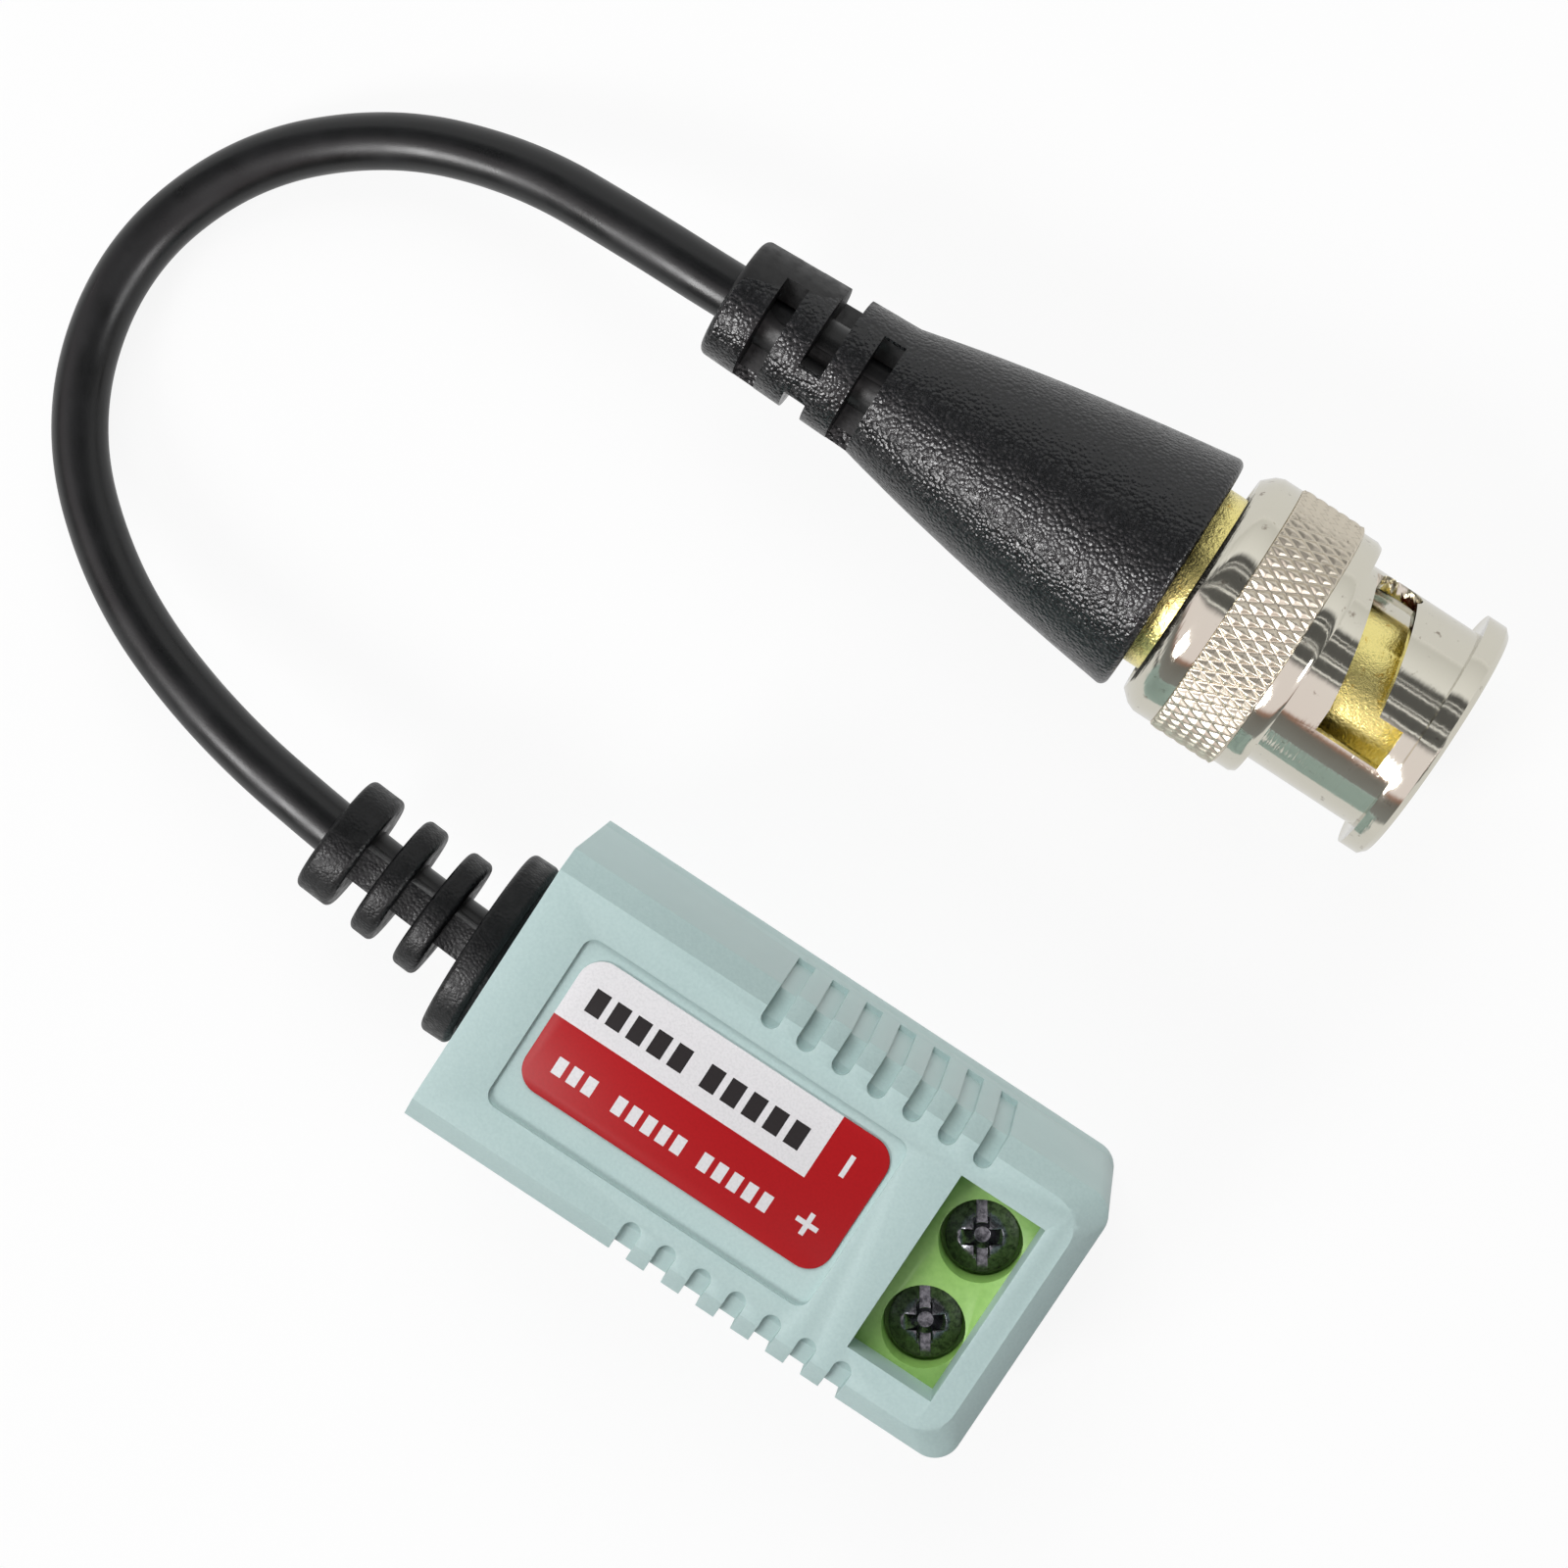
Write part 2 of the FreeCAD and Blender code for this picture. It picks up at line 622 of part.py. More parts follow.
def circuit_board():
    """Board that fits between the cover's lips and stops short of the strain relief."""
    board = housing_slab(LIP_INSET + FIT_GAP, BOARD_BOTTOM, BOARD_TOP)
    edge_x = CABLE_END_X + BOARD_END_GAP
    side = HOUSING_WIDTH / 2
    board = board.cut(box(V(CABLE_END_X, -side, 0), V(edge_x, side, HOUSING_HEIGHT)))
    hole = math.hypot(LEG_THICKNESS, LEG_WIDTH) / 2 + FIT_GAP
    leg_x = SCREW_X - TONGUE_ROOT + LEG_THICKNESS / 2
    for y in pole_centres():
        board = board.cut(upright(hole, 0, BOARD_TOP + 1, leg_x, y))
    return board


def terminal_block():
    half = BLOCK_WIDTH / 2
    section = [
        V(BLOCK_BACK, BLOCK_Y - half, BOARD_TOP),
        V(BLOCK_FRONT, BLOCK_Y - half, BOARD_TOP),
        V(BLOCK_FRONT, BLOCK_Y - half, BLOCK_TOP),
        V(BLOCK_BACK + BLOCK_EDGE, BLOCK_Y - half, BLOCK_TOP),
        V(BLOCK_BACK, BLOCK_Y - half, BLOCK_TOP - 3 * BLOCK_EDGE),
    ]
    block = Part.Face(Part.makePolygon(section + section[:1])).extrude(V(0, BLOCK_WIDTH, 0))
    cutters = []
    for y in pole_centres():
        cutters.append(upright(WELL_DIAMETER / 2, HEAD_Z, BLOCK_TOP + 1, SCREW_X, y))
        cutters.append(upright(SCREW_DIAMETER / 2 + 2 * RUN_GAP, CAGE_Z, HEAD_Z, SCREW_X, y))
        cutters.append(
            box(
                V(SCREW_X - CHAMBER_LENGTH / 2, y - CHAMBER_WIDTH / 2, CAGE_Z - FACE_GAP),
                V(SCREW_X + CHAMBER_LENGTH / 2, y + CHAMBER_WIDTH / 2, CHAMBER_TOP),
            )
        )
        cutters.append(wire_funnel(y))
        cutters.append(pin_solid(y, FIT_GAP))
    return block.cut(cutters)


def wire_funnel(y):
    """Square wire hole in the block's front, with a flared mouth."""
    low = CAGE_Z + CAGE_BASE
    high = TONGUE_Z - FIT_GAP
    half = WIRE_HOLE_WIDTH / 2
    wires = []
    for x, grow in ((BLOCK_FRONT - FUNNEL_DEPTH, 0.0), (BLOCK_FRONT, FUNNEL_EDGE)):
        corners = [
            V(x, y - half - grow, low - grow),
            V(x, y + half + grow, low - grow),
            V(x, y + half + grow, high + grow),
            V(x, y - half - grow, high + grow),
        ]
        wires.append(Part.makePolygon(corners + corners[:1]))
    hole = box(V(SCREW_X, y - half, low), V(BLOCK_FRONT, y + half, high))
    return hole.fuse(Part.makeLoft(wires, True, True))


def pin_solid(y, grow):
    """Tongue and solder leg of one pole; grow makes the room for it in the block."""
    root = SCREW_X - TONGUE_ROOT
    tongue = box(
        V(root - grow, y - TONGUE_WIDTH / 2 - grow, TONGUE_Z - grow),
        V(SCREW_X + TONGUE_NOSE + grow, y + TONGUE_WIDTH / 2 + grow, TONGUE_TOP + grow),
    )
    leg = box(
        V(root - grow, y - LEG_WIDTH / 2 - grow, BOARD_BOTTOM - SOLDER_LENGTH),
        V(root + LEG_THICKNESS + grow, y + LEG_WIDTH / 2 + grow, TONGUE_TOP + grow),
    )
    return tongue.fuse(leg).removeSplitter()


def clamp_cage(y):
    """Square cage that the screw lifts against the tongue."""
    cage = box(
        V(SCREW_X - CAGE_LENGTH / 2, y - CAGE_WIDTH / 2, CAGE_Z),
        V(SCREW_X + CAGE_LENGTH / 2, y + CAGE_WIDTH / 2, CAGE_TOP),
    )
    upright_edges = [e for e in cage.Edges if e.BoundBox.XLength > CAGE_LENGTH - 1e-6]
    cage = cage.makeFillet(CAGE_SIDE / 2, upright_edges)
    opening = box(
        V(SCREW_X - CAGE_LENGTH, y - CAGE_WIDTH / 2 + CAGE_SIDE, CAGE_Z + CAGE_BASE),
        V(SCREW_X + CAGE_LENGTH, y + CAGE_WIDTH / 2 - CAGE_SIDE, CROWN_Z),
    )
    thread = upright(SCREW_DIAMETER / 2 + THREAD_GAP, CROWN_Z - 1, CAGE_TOP + 1, SCREW_X, y)
    return cage.cut([opening, thread])


def terminal_screw(y):
    """Domed head with a slot and a cross recess, on a plain shank."""
    head_r = HEAD_DIAMETER / 2
    crown = HEAD_TOP - HEAD_DOME
    dome_radius = (head_r**2 + HEAD_DOME**2) / (2 * HEAD_DOME)
    head = upright(head_r, HEAD_Z + FACE_GAP, HEAD_TOP, SCREW_X, y)
    dome = Part.makeSphere(dome_radius, V(SCREW_X, y, HEAD_TOP - dome_radius))
    head = head.common(dome.fuse(upright(head_r, HEAD_Z, crown, SCREW_X, y)))
    shank = upright(SCREW_DIAMETER / 2, CROWN_Z, crown, SCREW_X, y)
    slot = box(
        V(SCREW_X - HEAD_DIAMETER, y - SLOT_WIDTH / 2, HEAD_TOP - SLOT_DEPTH),
        V(SCREW_X + HEAD_DIAMETER, y + SLOT_WIDTH / 2, HEAD_TOP + 1),
    )
    arms = []
    for length, width in ((CROSS_LENGTH, CROSS_WIDTH), (CROSS_WIDTH, CROSS_LENGTH)):
        arms.append(
            box(
                V(SCREW_X - length / 2, y - width / 2, HEAD_TOP - CROSS_DEPTH),
                V(SCREW_X + length / 2, y + width / 2, HEAD_TOP + 1),
            )
        )
    cone = Part.makeCone(
        CROSS_WIDTH / 2, CROSS_LENGTH / 2, CROSS_DEPTH, V(SCREW_X, y, HEAD_TOP - CROSS_DEPTH)
    )
    recess = arms[0].fuse(arms[1]).common(cone).fuse(slot)
    recess.rotate(V(SCREW_X, y, 0), V(0, 0, 1), SLOT_ANGLE)
    return head.fuse(shank).cut(recess)


def ferrite_core():
    outer = upright(CORE_OUTER / 2, CORE_Z, CORE_Z + CORE_HEIGHT, CORE_X, 0)
    rims = [e for e in outer.Edges if e.BoundBox.ZLength < 1e-6]
    outer = outer.makeFillet(2 * FIT_GAP, rims)
    return outer.cut(upright(CORE_INNER / 2, CORE_Z - 1, CORE_Z + CORE_HEIGHT + 1, CORE_X, 0))


def winding(middle_angle):
    """Turns of enamelled wire round one half of the core, about an angle in plan."""
    inner_x = CORE_X + CORE_INNER / 2 - FIT_GAP
    outer_x = CORE_X + CORE_OUTER / 2 + FIT_GAP
    low, high = CORE_Z - FIT_GAP, CORE_Z + CORE_HEIGHT + FIT_GAP
    wire = WIRE_DIAMETER
    hole = box(V(inner_x, -wire, low), V(outer_x, wire, high))
    loop = box(
        V(inner_x - wire, -wire / 2, low - wire), V(outer_x + wire, wire / 2, high + wire)
    )
    corners = [e for e in loop.Edges if e.BoundBox.YLength > wire - 1e-6]
    loop = loop.makeFillet(wire * 0.9, corners).cut(hole)
    turns = []
    for index in range(WINDING_TURNS):
        angle = middle_angle - WINDING_ARC / 2 + WINDING_ARC * index / (WINDING_TURNS - 1)
        turn = loop.copy()
        turn.rotate(V(CORE_X, 0, 0), V(0, 0, 1), angle)
        turns.append(turn)
    return Part.makeCompound(turns)


def chips(centres, length, width, height):
    """Small parts that lie on the board, with slightly broken edges."""
    edge = height / 10
    solids = []
    for x, y in centres:
        chip = box(
            V(x - length / 2, y - width / 2, BOARD_TOP),
            V(x + length / 2, y + width / 2, BOARD_TOP + height),
        )
        top = [e for e in chip.Edges if e.BoundBox.ZMin > BOARD_TOP + height - 1e-6]
        solids.append(chip.makeChamfer(edge, top))
    return Part.makeCompound(solids)


def board_wire(offset_y, foot_y, diameter):
    """Wire end that runs from the cable's end down to the board."""
    start = CABLE_START.add(V(0, offset_y, 0))
    foot_x = CABLE_END_X + WIRE_FOOT_INSET
    points = [
        start,
        start.add(V(FREE_WIRE, 0, 0)),
        V(foot_x, foot_y, BOARD_TOP + WIRE_DROP),
        V(foot_x, foot_y, BOARD_TOP),
    ]
    return tube(points, diameter)


# Plug


def bell_profile():
    """Half section of the overmould: a gently curved bell and a straight tail."""
    stations = (MOULD_FRONT,) + BELL_STATIONS + (CONE_REAR,)
    diameters = (MOULD_DIAMETER,) + BELL_DIAMETERS + (CONE_DIAMETER,)
    curve = Part.BSplineCurve()
    curve.interpolate([spoke(0, d / 2).add(V(station(x), 0, 0)) for x, d in zip(stations, diameters)])
    tail = [
        spoke(0, CONE_DIAMETER / 2).add(V(station(CONE_REAR), 0, 0)),
        spoke(0, TAIL_DIAMETER / 2).add(V(station(TAIL_END), 0, 0)),
        spoke(0, 0).add(V(station(TAIL_END), 0, 0)),
        spoke(0, 0).add(V(station(MOULD_FRONT), 0, 0)),
        spoke(0, MOULD_DIAMETER / 2).add(V(station(MOULD_FRONT), 0, 0)),
    ]
    return Part.Face(Part.Wire([curve.toShape()] + Part.makePolygon(tail).Edges))


def plug_overmould():
    axis_point = V(station(SHOULDER), PLUG_AXIS_Y, PLUG_AXIS_Z)
    mould = bell_profile().revolve(axis_point, V(1, 0, 0), 360)
    ends = (station(MOULD_FRONT), station(TAIL_END))
    rims = []
    for edge in mould.Edges:
        flat = edge.BoundBox.XLength < 1e-6
        if flat and min(abs(edge.BoundBox.XMin - x) for x in ends) < 1e-6:
            rims.append(edge)
    mould = mould.makeFillet(MOULD_ROUND, rims)
    slots = []
    for middle, angle, half_width in zip(TAIL_SLOTS, BRIDGE_ANGLES, BRIDGE_HALF_WIDTHS):
        front = TAIL_END - middle - TAIL_SLOT_WIDTH / 2
        rear = TAIL_END - middle + TAIL_SLOT_WIDTH / 2
        ring = plug_ring(front, rear, CONE_DIAMETER, CABLE_DIAMETER / 2 + FIT_GAP)
        for bridge in (angle, angle + 180):
            ring = ring.cut(wedge(bridge, half_width, front - 1, rear + 1))
        slots.append(ring)
    mould = mould.cut(slots)
    mould.rotate(axis_point, V(0, 0, 1), MOULD_YAW)
    cutters = [
        cable_bore(),
        plug_rod(MOULD_FRONT - 1, BODY_REAR + FIT_GAP, BODY_DIAMETER / 2),
        plug_rod(BODY_REAR, CUP_END + FIT_GAP, CUP_DIAMETER / 2 + FIT_GAP),
        plug_rod(CUP_END, CONE_REAR, CORE_WIRE_DIAMETER / 2 + FIT_GAP),
    ]
    return mould.cut(cutters)


def plug_body():
    outline = [
        (COLLAR_FRONT - SPIGOT_LENGTH, BODY_BORE / 2),
        (COLLAR_FRONT - SPIGOT_LENGTH, CONTACT_DIAMETER / 2 - CONTACT_WALL - FIT_GAP),
        (COLLAR_FRONT, CONTACT_DIAMETER / 2 - CONTACT_WALL - FIT_GAP),
        (COLLAR_FRONT, COLLAR_DIAMETER / 2),
        (COLLAR_REAR, COLLAR_DIAMETER / 2),
        (COLLAR_REAR, BODY_DIAMETER / 2),
        (BODY_REAR, BODY_DIAMETER / 2),
        (BODY_REAR, CUP_DIAMETER / 2),
        (CUP_END, CUP_DIAMETER / 2),
        (CUP_END, CUP_BORE / 2),
        (BORE_STEP, CUP_BORE / 2),
        (BORE_STEP, BODY_BORE / 2),
    ]
    return plug_turned(outline)


def sleeve_outline():
    """Half section of the coupling sleeve, from its front bore round to its chamber."""
    bore = FRONT_BORE / 2
    chamber = CHAMBER_BORE / 2
    flange = FLANGE_DIAMETER / 2
    barrel = BARREL_DIAMETER / 2
    front_band = FRONT_BAND_DIAMETER / 2
    rear_band = REAR_BAND_DIAMETER / 2
    knurl = KNURL_DIAMETER / 2
    return [
        (0, bore + FLANGE_BEVEL),
        (0, flange - FLANGE_BEVEL),
        (FLANGE_BEVEL, flange),
        (FLANGE_THICKNESS, flange),
        (FLANGE_THICKNESS, barrel),
        (BARREL_END, barrel),
        (BARREL_END, front_band - FLANGE_BEVEL / 2),
        (BARREL_END + FLANGE_BEVEL, front_band),
        (KNURL_FRONT, front_band),
        (KNURL_FRONT, knurl),
        (KNURL_REAR, knurl),
        (KNURL_REAR, rear_band),
        *[(SLEEVE_LENGTH - back, rear_band - drop) for back, drop in REAR_EDGE],
        (SLEEVE_LENGTH, chamber),
        (SHOULDER, chamber),
        (SHOULDER, bore),
        (FLANGE_BEVEL, bore),
    ]


def bayonet_slot():
    """Cutter for one slot: entry channel, sloping ramp and the seat at its end."""
    width = SLOT_WIDTH_BAYONET
    end = SLOT_START + SLOT_SWEEP
    middle = (SLOT_START + end) / 2
    deep = CONTACT_DIAMETER / 2
    outer = FLANGE_DIAMETER / 2 + 1
    centre = V(station(SLOT_MIDDLE), PLUG_AXIS_Y, PLUG_AXIS_Z)
    slab = Part.makeBox(width, 4 * outer, 4 * outer, centre.sub(V(width / 2, 2 * outer, 2 * outer)))
    slab.rotate(centre, spoke(middle, 1).sub(spoke(0, 0)), SLOT_SLOPE)
    ramp = slab.common(wedge(middle, SLOT_SWEEP / 2, 0, SLEEVE_LENGTH))
    rise = CHANNEL_RADIUS * math.tan(math.radians(SLOT_SLOPE)) * math.sin(math.radians(SLOT_SWEEP / 2))
    seat_x = station(SLOT_MIDDLE + rise - DETENT_STEP)
    axis = spoke(end, 1).sub(spoke(0, 0))
    seat_start = spoke(end, deep).add(V(seat_x, 0, 0))
    seat = Part.makeCylinder(width / 2, outer - deep, seat_start, axis)
    entry_rear = SLOT_MIDDLE - rise + width / 2
    channel = radial_box(SLOT_START, width, deep, CHANNEL_RADIUS, -1, entry_rear)
    gate = radial_box(SLOT_START, width, deep, outer, ENTRY_BACK, entry_rear)
    inside = plug_rod(-2, SLEEVE_LENGTH, deep)
    return channel.fuse([gate, ramp, seat]).cut(inside)


def coupling_sleeve():
    sleeve = plug_turned(sleeve_outline())
    slot = bayonet_slot()
    cutters = []
    for index in range(SLOT_COUNT):
        turn = slot.copy()
        turn.rotate(V(0, PLUG_AXIS_Y, PLUG_AXIS_Z), V(1, 0, 0), 360 / SLOT_COUNT * index)
        cutters.append(turn)
    return sleeve.cut(cutters)


def retaining_ring():
    inner = BODY_DIAMETER / 2 + RUN_GAP
    return plug_ring(RING_FRONT, RING_FRONT + RING_LENGTH, CHAMBER_BORE / 2 - 0.01, inner)


def thrust_washer():
    inner = BODY_DIAMETER / 2 + RUN_GAP
    return plug_ring(WASHER_FRONT, WASHER_FRONT + WASHER_THICKNESS, WASHER_OUTER / 2, inner)


def spring_washer():
    """Dished washer: its rim lies on the body's collar and its inner edge faces the thrust washer."""
    inner = BODY_DIAMETER / 2 + RUN_GAP
    outer = WASHER_OUTER / 2
    tip = COLLAR_REAR + DISH_HEIGHT
    outline = [
        (COLLAR_REAR, outer),
        (COLLAR_REAR + DISH_THICKNESS, outer),
        (tip, inner),
        (tip - DISH_THICKNESS, inner),
    ]
    return plug_turned(outline)


def face_gasket():
    inner = CONTACT_DIAMETER / 2 + FIT_GAP
    return plug_ring(COLLAR_FRONT - GASKET_THICKNESS, COLLAR_FRONT, GASKET_DIAMETER / 2, inner)


def outer_contact():
    outer = CONTACT_DIAMETER / 2
    tube_wall = plug_ring(CONTACT_RECESS, COLLAR_FRONT, outer, outer - CONTACT_WALL)
    cutters = []
    for index in range(CONTACT_SLITS):
        angle = 360 / CONTACT_SLITS * (index + 0.5)
        rear = CONTACT_RECESS + SLIT_LENGTH
        cutters.append(radial_box(angle, SLIT_WIDTH, 1, outer + 1, CONTACT_RECESS - 1, rear))
    return tube_wall.cut(cutters)


def plug_insulator():
    outer = BODY_BORE / 2 - FIT_GAP
    bore = PIN_SHANK_DIAMETER / 2 + FIT_GAP
    return plug_ring(INSULATOR_RECESS, BORE_STEP, outer, bore)


def centre_pin():
    """Contact pin with a bevelled tip, a thicker shank in the insulator and a solder cup."""
    radius = PIN_DIAMETER / 2
    outline = [
        (PIN_RECESS, 0),
        (PIN_RECESS, radius - PIN_TIP),
        (PIN_RECESS + PIN_TIP, radius),
        (INSULATOR_RECESS + FIT_GAP, radius),
        (INSULATOR_RECESS + FIT_GAP, PIN_SHANK_DIAMETER / 2),
        (PIN_CUP_FRONT, PIN_SHANK_DIAMETER / 2),
        (PIN_CUP_FRONT, PIN_CUP_DIAMETER / 2),
        (PIN_CUP_END, PIN_CUP_DIAMETER / 2),
        (PIN_CUP_END, 0),
    ]
    return plug_turned(outline)


def plug_core():
    """Stripped core of the cable, from the jacket's end to the pin's cup."""
    end = ROUTE[-1].x + FACE_GAP
    return plug_rod(PIN_CUP_END, PLUG_FRONT_X - end, CORE_WIRE_DIAMETER / 2)


# Node list


def solids():
    """Every node's name and shape."""
    nodes = {
        "housing_shell": housing_shell(),
        "bottom_cover": bottom_cover(),
        "printed_label": printed_label(),
        "strain_relief": strain_relief(),
        "cable": tube(ROUTE, CABLE_DIAMETER, "cable"),
        "circuit_board": circuit_board(),
        "terminal_block": terminal_block(),
        "ferrite_core": ferrite_core(),
        "primary_winding": winding(90),
        "secondary_winding": winding(-90),
        "surge_diodes": chips([(DIODE_X, -DIODE_Y), (DIODE_X, DIODE_Y)], *DIODE_SIZE),
        "chip_capacitors": chips([(CHIP_X, CHIP_Y)], CHIP_LENGTH, CHIP_WIDTH, CAPACITOR_HEIGHT),
        "chip_resistors": chips([(CHIP_X, -CHIP_Y)], CHIP_LENGTH, CHIP_WIDTH, RESISTOR_HEIGHT),
        "coax_core": board_wire(0.5, 1.4, CORE_WIRE_DIAMETER),
        "braid_tail": board_wire(-0.9, -1.6, BRAID_DIAMETER),
        "plug_overmould": plug_overmould(),
        "plug_body": plug_body(),
        "coupling_sleeve": coupling_sleeve(),
        "retaining_ring": retaining_ring(),
        "thrust_washer": thrust_washer(),
        "spring_washer": spring_washer(),
        "face_gasket": face_gasket(),
        "outer_contact": outer_contact(),
        "plug_insulator": plug_insulator(),
        "centre_pin": centre_pin(),
        "plug_core": plug_core(),
    }
    for number, y in enumerate(pole_centres(), start=1):
        nodes[f"terminal_screw_{number}"] = terminal_screw(y)
        nodes[f"clamp_cage_{number}"] = clamp_cage(y)
        nodes[f"terminal_pin_{number}"] = pin_solid(y, 0)
    return nodes


os.makedirs("parts", exist_ok=True)
for name, shape in solids().items():
    if not shape.isValid() or not shape.Solids:
        raise RuntimeError(f"{name} is not a valid solid")
    shape.exportStep(f"parts/{name}.step")
    print(f"{name}: {len(shape.Solids)} solid(s), {shape.Volume:.1f} mm3")
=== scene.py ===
import logging
import math
from dataclasses import dataclass
from enum import Enum
from functools import reduce

import bmesh
import bpy
import numpy as np
from mathutils import Matrix, Vector


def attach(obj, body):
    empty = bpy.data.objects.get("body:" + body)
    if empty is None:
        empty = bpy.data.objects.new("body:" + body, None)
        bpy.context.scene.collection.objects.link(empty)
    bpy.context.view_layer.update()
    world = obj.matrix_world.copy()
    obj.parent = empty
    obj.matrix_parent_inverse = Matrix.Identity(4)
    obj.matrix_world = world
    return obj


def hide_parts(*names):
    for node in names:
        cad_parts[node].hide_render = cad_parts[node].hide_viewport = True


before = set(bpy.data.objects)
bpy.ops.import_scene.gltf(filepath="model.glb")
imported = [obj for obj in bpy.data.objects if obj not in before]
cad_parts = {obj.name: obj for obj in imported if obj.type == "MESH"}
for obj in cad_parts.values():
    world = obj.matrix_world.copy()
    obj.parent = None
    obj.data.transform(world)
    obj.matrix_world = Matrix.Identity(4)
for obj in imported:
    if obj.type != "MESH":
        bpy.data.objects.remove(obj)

LOG = logging.getLogger("balun")
MM = 0.001
PLUG_AXIS_MM = (35.1, 7.0)  # y and z of the plug's axis, which runs along X
WELD_MM = 0.002  # corners of a CAD mesh that lie nearer than this are one
FLAT_DEGREES = 0.6  # CAD triangles that turn by less than this become one face
TURNED_SLACK = 0.004  # how far a turned face's normal may lie off the plane through the axis
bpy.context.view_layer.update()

Tree = bpy.types.NodeTree
Node = bpy.types.Node
Socket = bpy.types.NodeSocket


class Body(Enum):
    """Bodies that new pieces ride on."""

    BALUN = "balun"
    COUPLING = "coupling"
    SCREW_1 = "screw_1"
    SCREW_2 = "screw_2"


# Colour and node helpers


def srgb(code: str) -> tuple[float, float, float, float]:
    """Turns an sRGB hex colour into linear RGBA.

    Args:
        code: six hex digits after a hash.

    Returns:
        Linear red, green, blue and an alpha of 1.
    """
    parts = [int(code[i : i + 2], 16) / 255 for i in (1, 3, 5)]
    linear = [c / 12.92 if c <= 0.04045 else ((c + 0.055) / 1.055) ** 2.4 for c in parts]
    return (linear[0], linear[1], linear[2], 1.0)


def grey(value: float) -> tuple[float, float, float, float]:
    """Linear grey of a brightness."""
    return (value, value, value, 1.0)


def add(tree: Tree, kind: str, settings: dict | None = None, links: dict | None = None) -> Node:
    """Adds a node with its settings and links.

    Args:
        tree: node tree that takes the node.
        kind: Blender's name for the node's class.
        settings: node properties by name, or input values by input name or index.
        links: output sockets by the input name or index that they feed.

    Returns:
        The new node.
    """
    node = tree.nodes.new(kind)
    for key, value in (settings or {}).items():
        if isinstance(key, str) and key in node.bl_rna.properties:
            setattr(node, key, value)
        else:
            node.inputs[key].default_value = value
    for key, source in (links or {}).items():
        tree.links.new(source, node.inputs[key])
    return node


def feed(tree: Tree, node: Node, **sources: Socket) -> None:
    """Links outputs to a node's inputs.

    Args:
        tree: node tree with all of them.
        node: the node that is fed.
        sources: outputs by the input's name, with spaces written as underscores.
    """
    for name, source in sources.items():
        tree.links.new(source, node.inputs[name.replace("_", " ")])


def ramp(node: Node, stops: list[tuple[float, tuple]]) -> Node:
    """Sets a colour ramp's stops.

    Args:
        node: the ramp.
        stops: position and linear colour of each stop, in order.

    Returns:
        The same node.
    """
    elements = node.color_ramp.elements
    while len(elements) < len(stops):
        elements.new(1.0)
    for element, (place, colour) in zip(elements, stops):
        element.position = place
        element.color = colour
    return node


def off_axis(tree: Tree, where: Socket) -> tuple[Node, Node]:
    """Measures the point against the plug's axis.

    Args:
        tree: node tree that takes the nodes.
        where: the point's Object coordinates.

    Returns:
        The node whose outputs are x, and y and z from the axis, and the node with the distance.
    """
    y, z = PLUG_AXIS_MM
    centred = add(tree, "ShaderNodeMapping", {"Location": (0.0, -y * MM, -z * MM)}, {"Vector": where})
    split = add(tree, "ShaderNodeSeparateXYZ", links={"Vector": centred.outputs["Vector"]})
    flat = add(tree, "ShaderNodeCombineXYZ", links={"X": split.outputs["Y"], "Y": split.outputs["Z"]})
    reach = add(tree, "ShaderNodeVectorMath", {"operation": "LENGTH"}, {0: flat.outputs["Vector"]})
    return split, reach


# Finishes


@dataclass(frozen=True)
class Finish:
    """What every finish starts from: a principled surface fed with Object coordinates."""

    name: str
    roughness: float = 0.5
    swing: tuple[float, float] = (0.0, 0.0)

    def begin(self, **surface: float) -> tuple[bpy.types.Material, Tree, Node, Socket]:
        """Makes the material with its surface shader.

        Args:
            surface: numbers for the shader's own sockets, with spaces written as underscores.

        Returns:
            The material, its tree, the shader and the Object coordinates.
        """
        material = bpy.data.materials.new(self.name)
        material.use_nodes = True
        tree = material.node_tree
        tree.nodes.clear()
        numbers = {key.replace("_", " "): value for key, value in surface.items()}
        shader = add(tree, "ShaderNodeBsdfPrincipled", numbers)
        add(tree, "ShaderNodeOutputMaterial", links={"Surface": shader.outputs["BSDF"]})
        place = add(tree, "ShaderNodeTexCoord")
        return material, tree, shader, place.outputs["Object"]

    def coat(
        self,
        tree: Tree,
        shader: Node,
        relief: Node,
        tint: Socket,
        stops: tuple[tuple[float, str], ...],
        shine: Socket | None = None,
        span: tuple[float, float] = (0.3, 0.7),
    ) -> tuple[Socket, Socket | None]:
        """Gives the shader its relief, a tone that follows a pattern and a gloss that does too.

        Args:
            tree: node tree that takes the nodes.
            shader: the principled surface.
            relief: the last bump.
            tint: pattern of the tone.
            stops: tones by the pattern's value.
            shine: pattern of the roughness, which swings over the finish's swing.
            span: values of that pattern at the swing's ends.

        Returns:
            The tone and the roughness that feed the shader.
        """
        tone = ramp(
            add(tree, "ShaderNodeValToRGB", links={"Fac": tint}),
            [(place, srgb(code)) for place, code in stops],
        )
        feed(tree, shader, Base_Color=tone.outputs["Color"], Normal=relief.outputs["Normal"])
        if not shine:
            return tone.outputs["Color"], None
        low, high = (self.roughness + change for change in self.swing)
        gloss = add(
            tree,
            "ShaderNodeMapRange",
            {"From Min": span[0], "From Max": span[1], "To Min": low, "To Max": high},
            {"Value": shine},
        )
        feed(tree, shader, Roughness=gloss.outputs["Result"])
        return tone.outputs["Color"], gloss.outputs["Result"]

    def material(self) -> bpy.types.Material:
        """Builds the finish; each kind has its own."""
        raise NotImplementedError


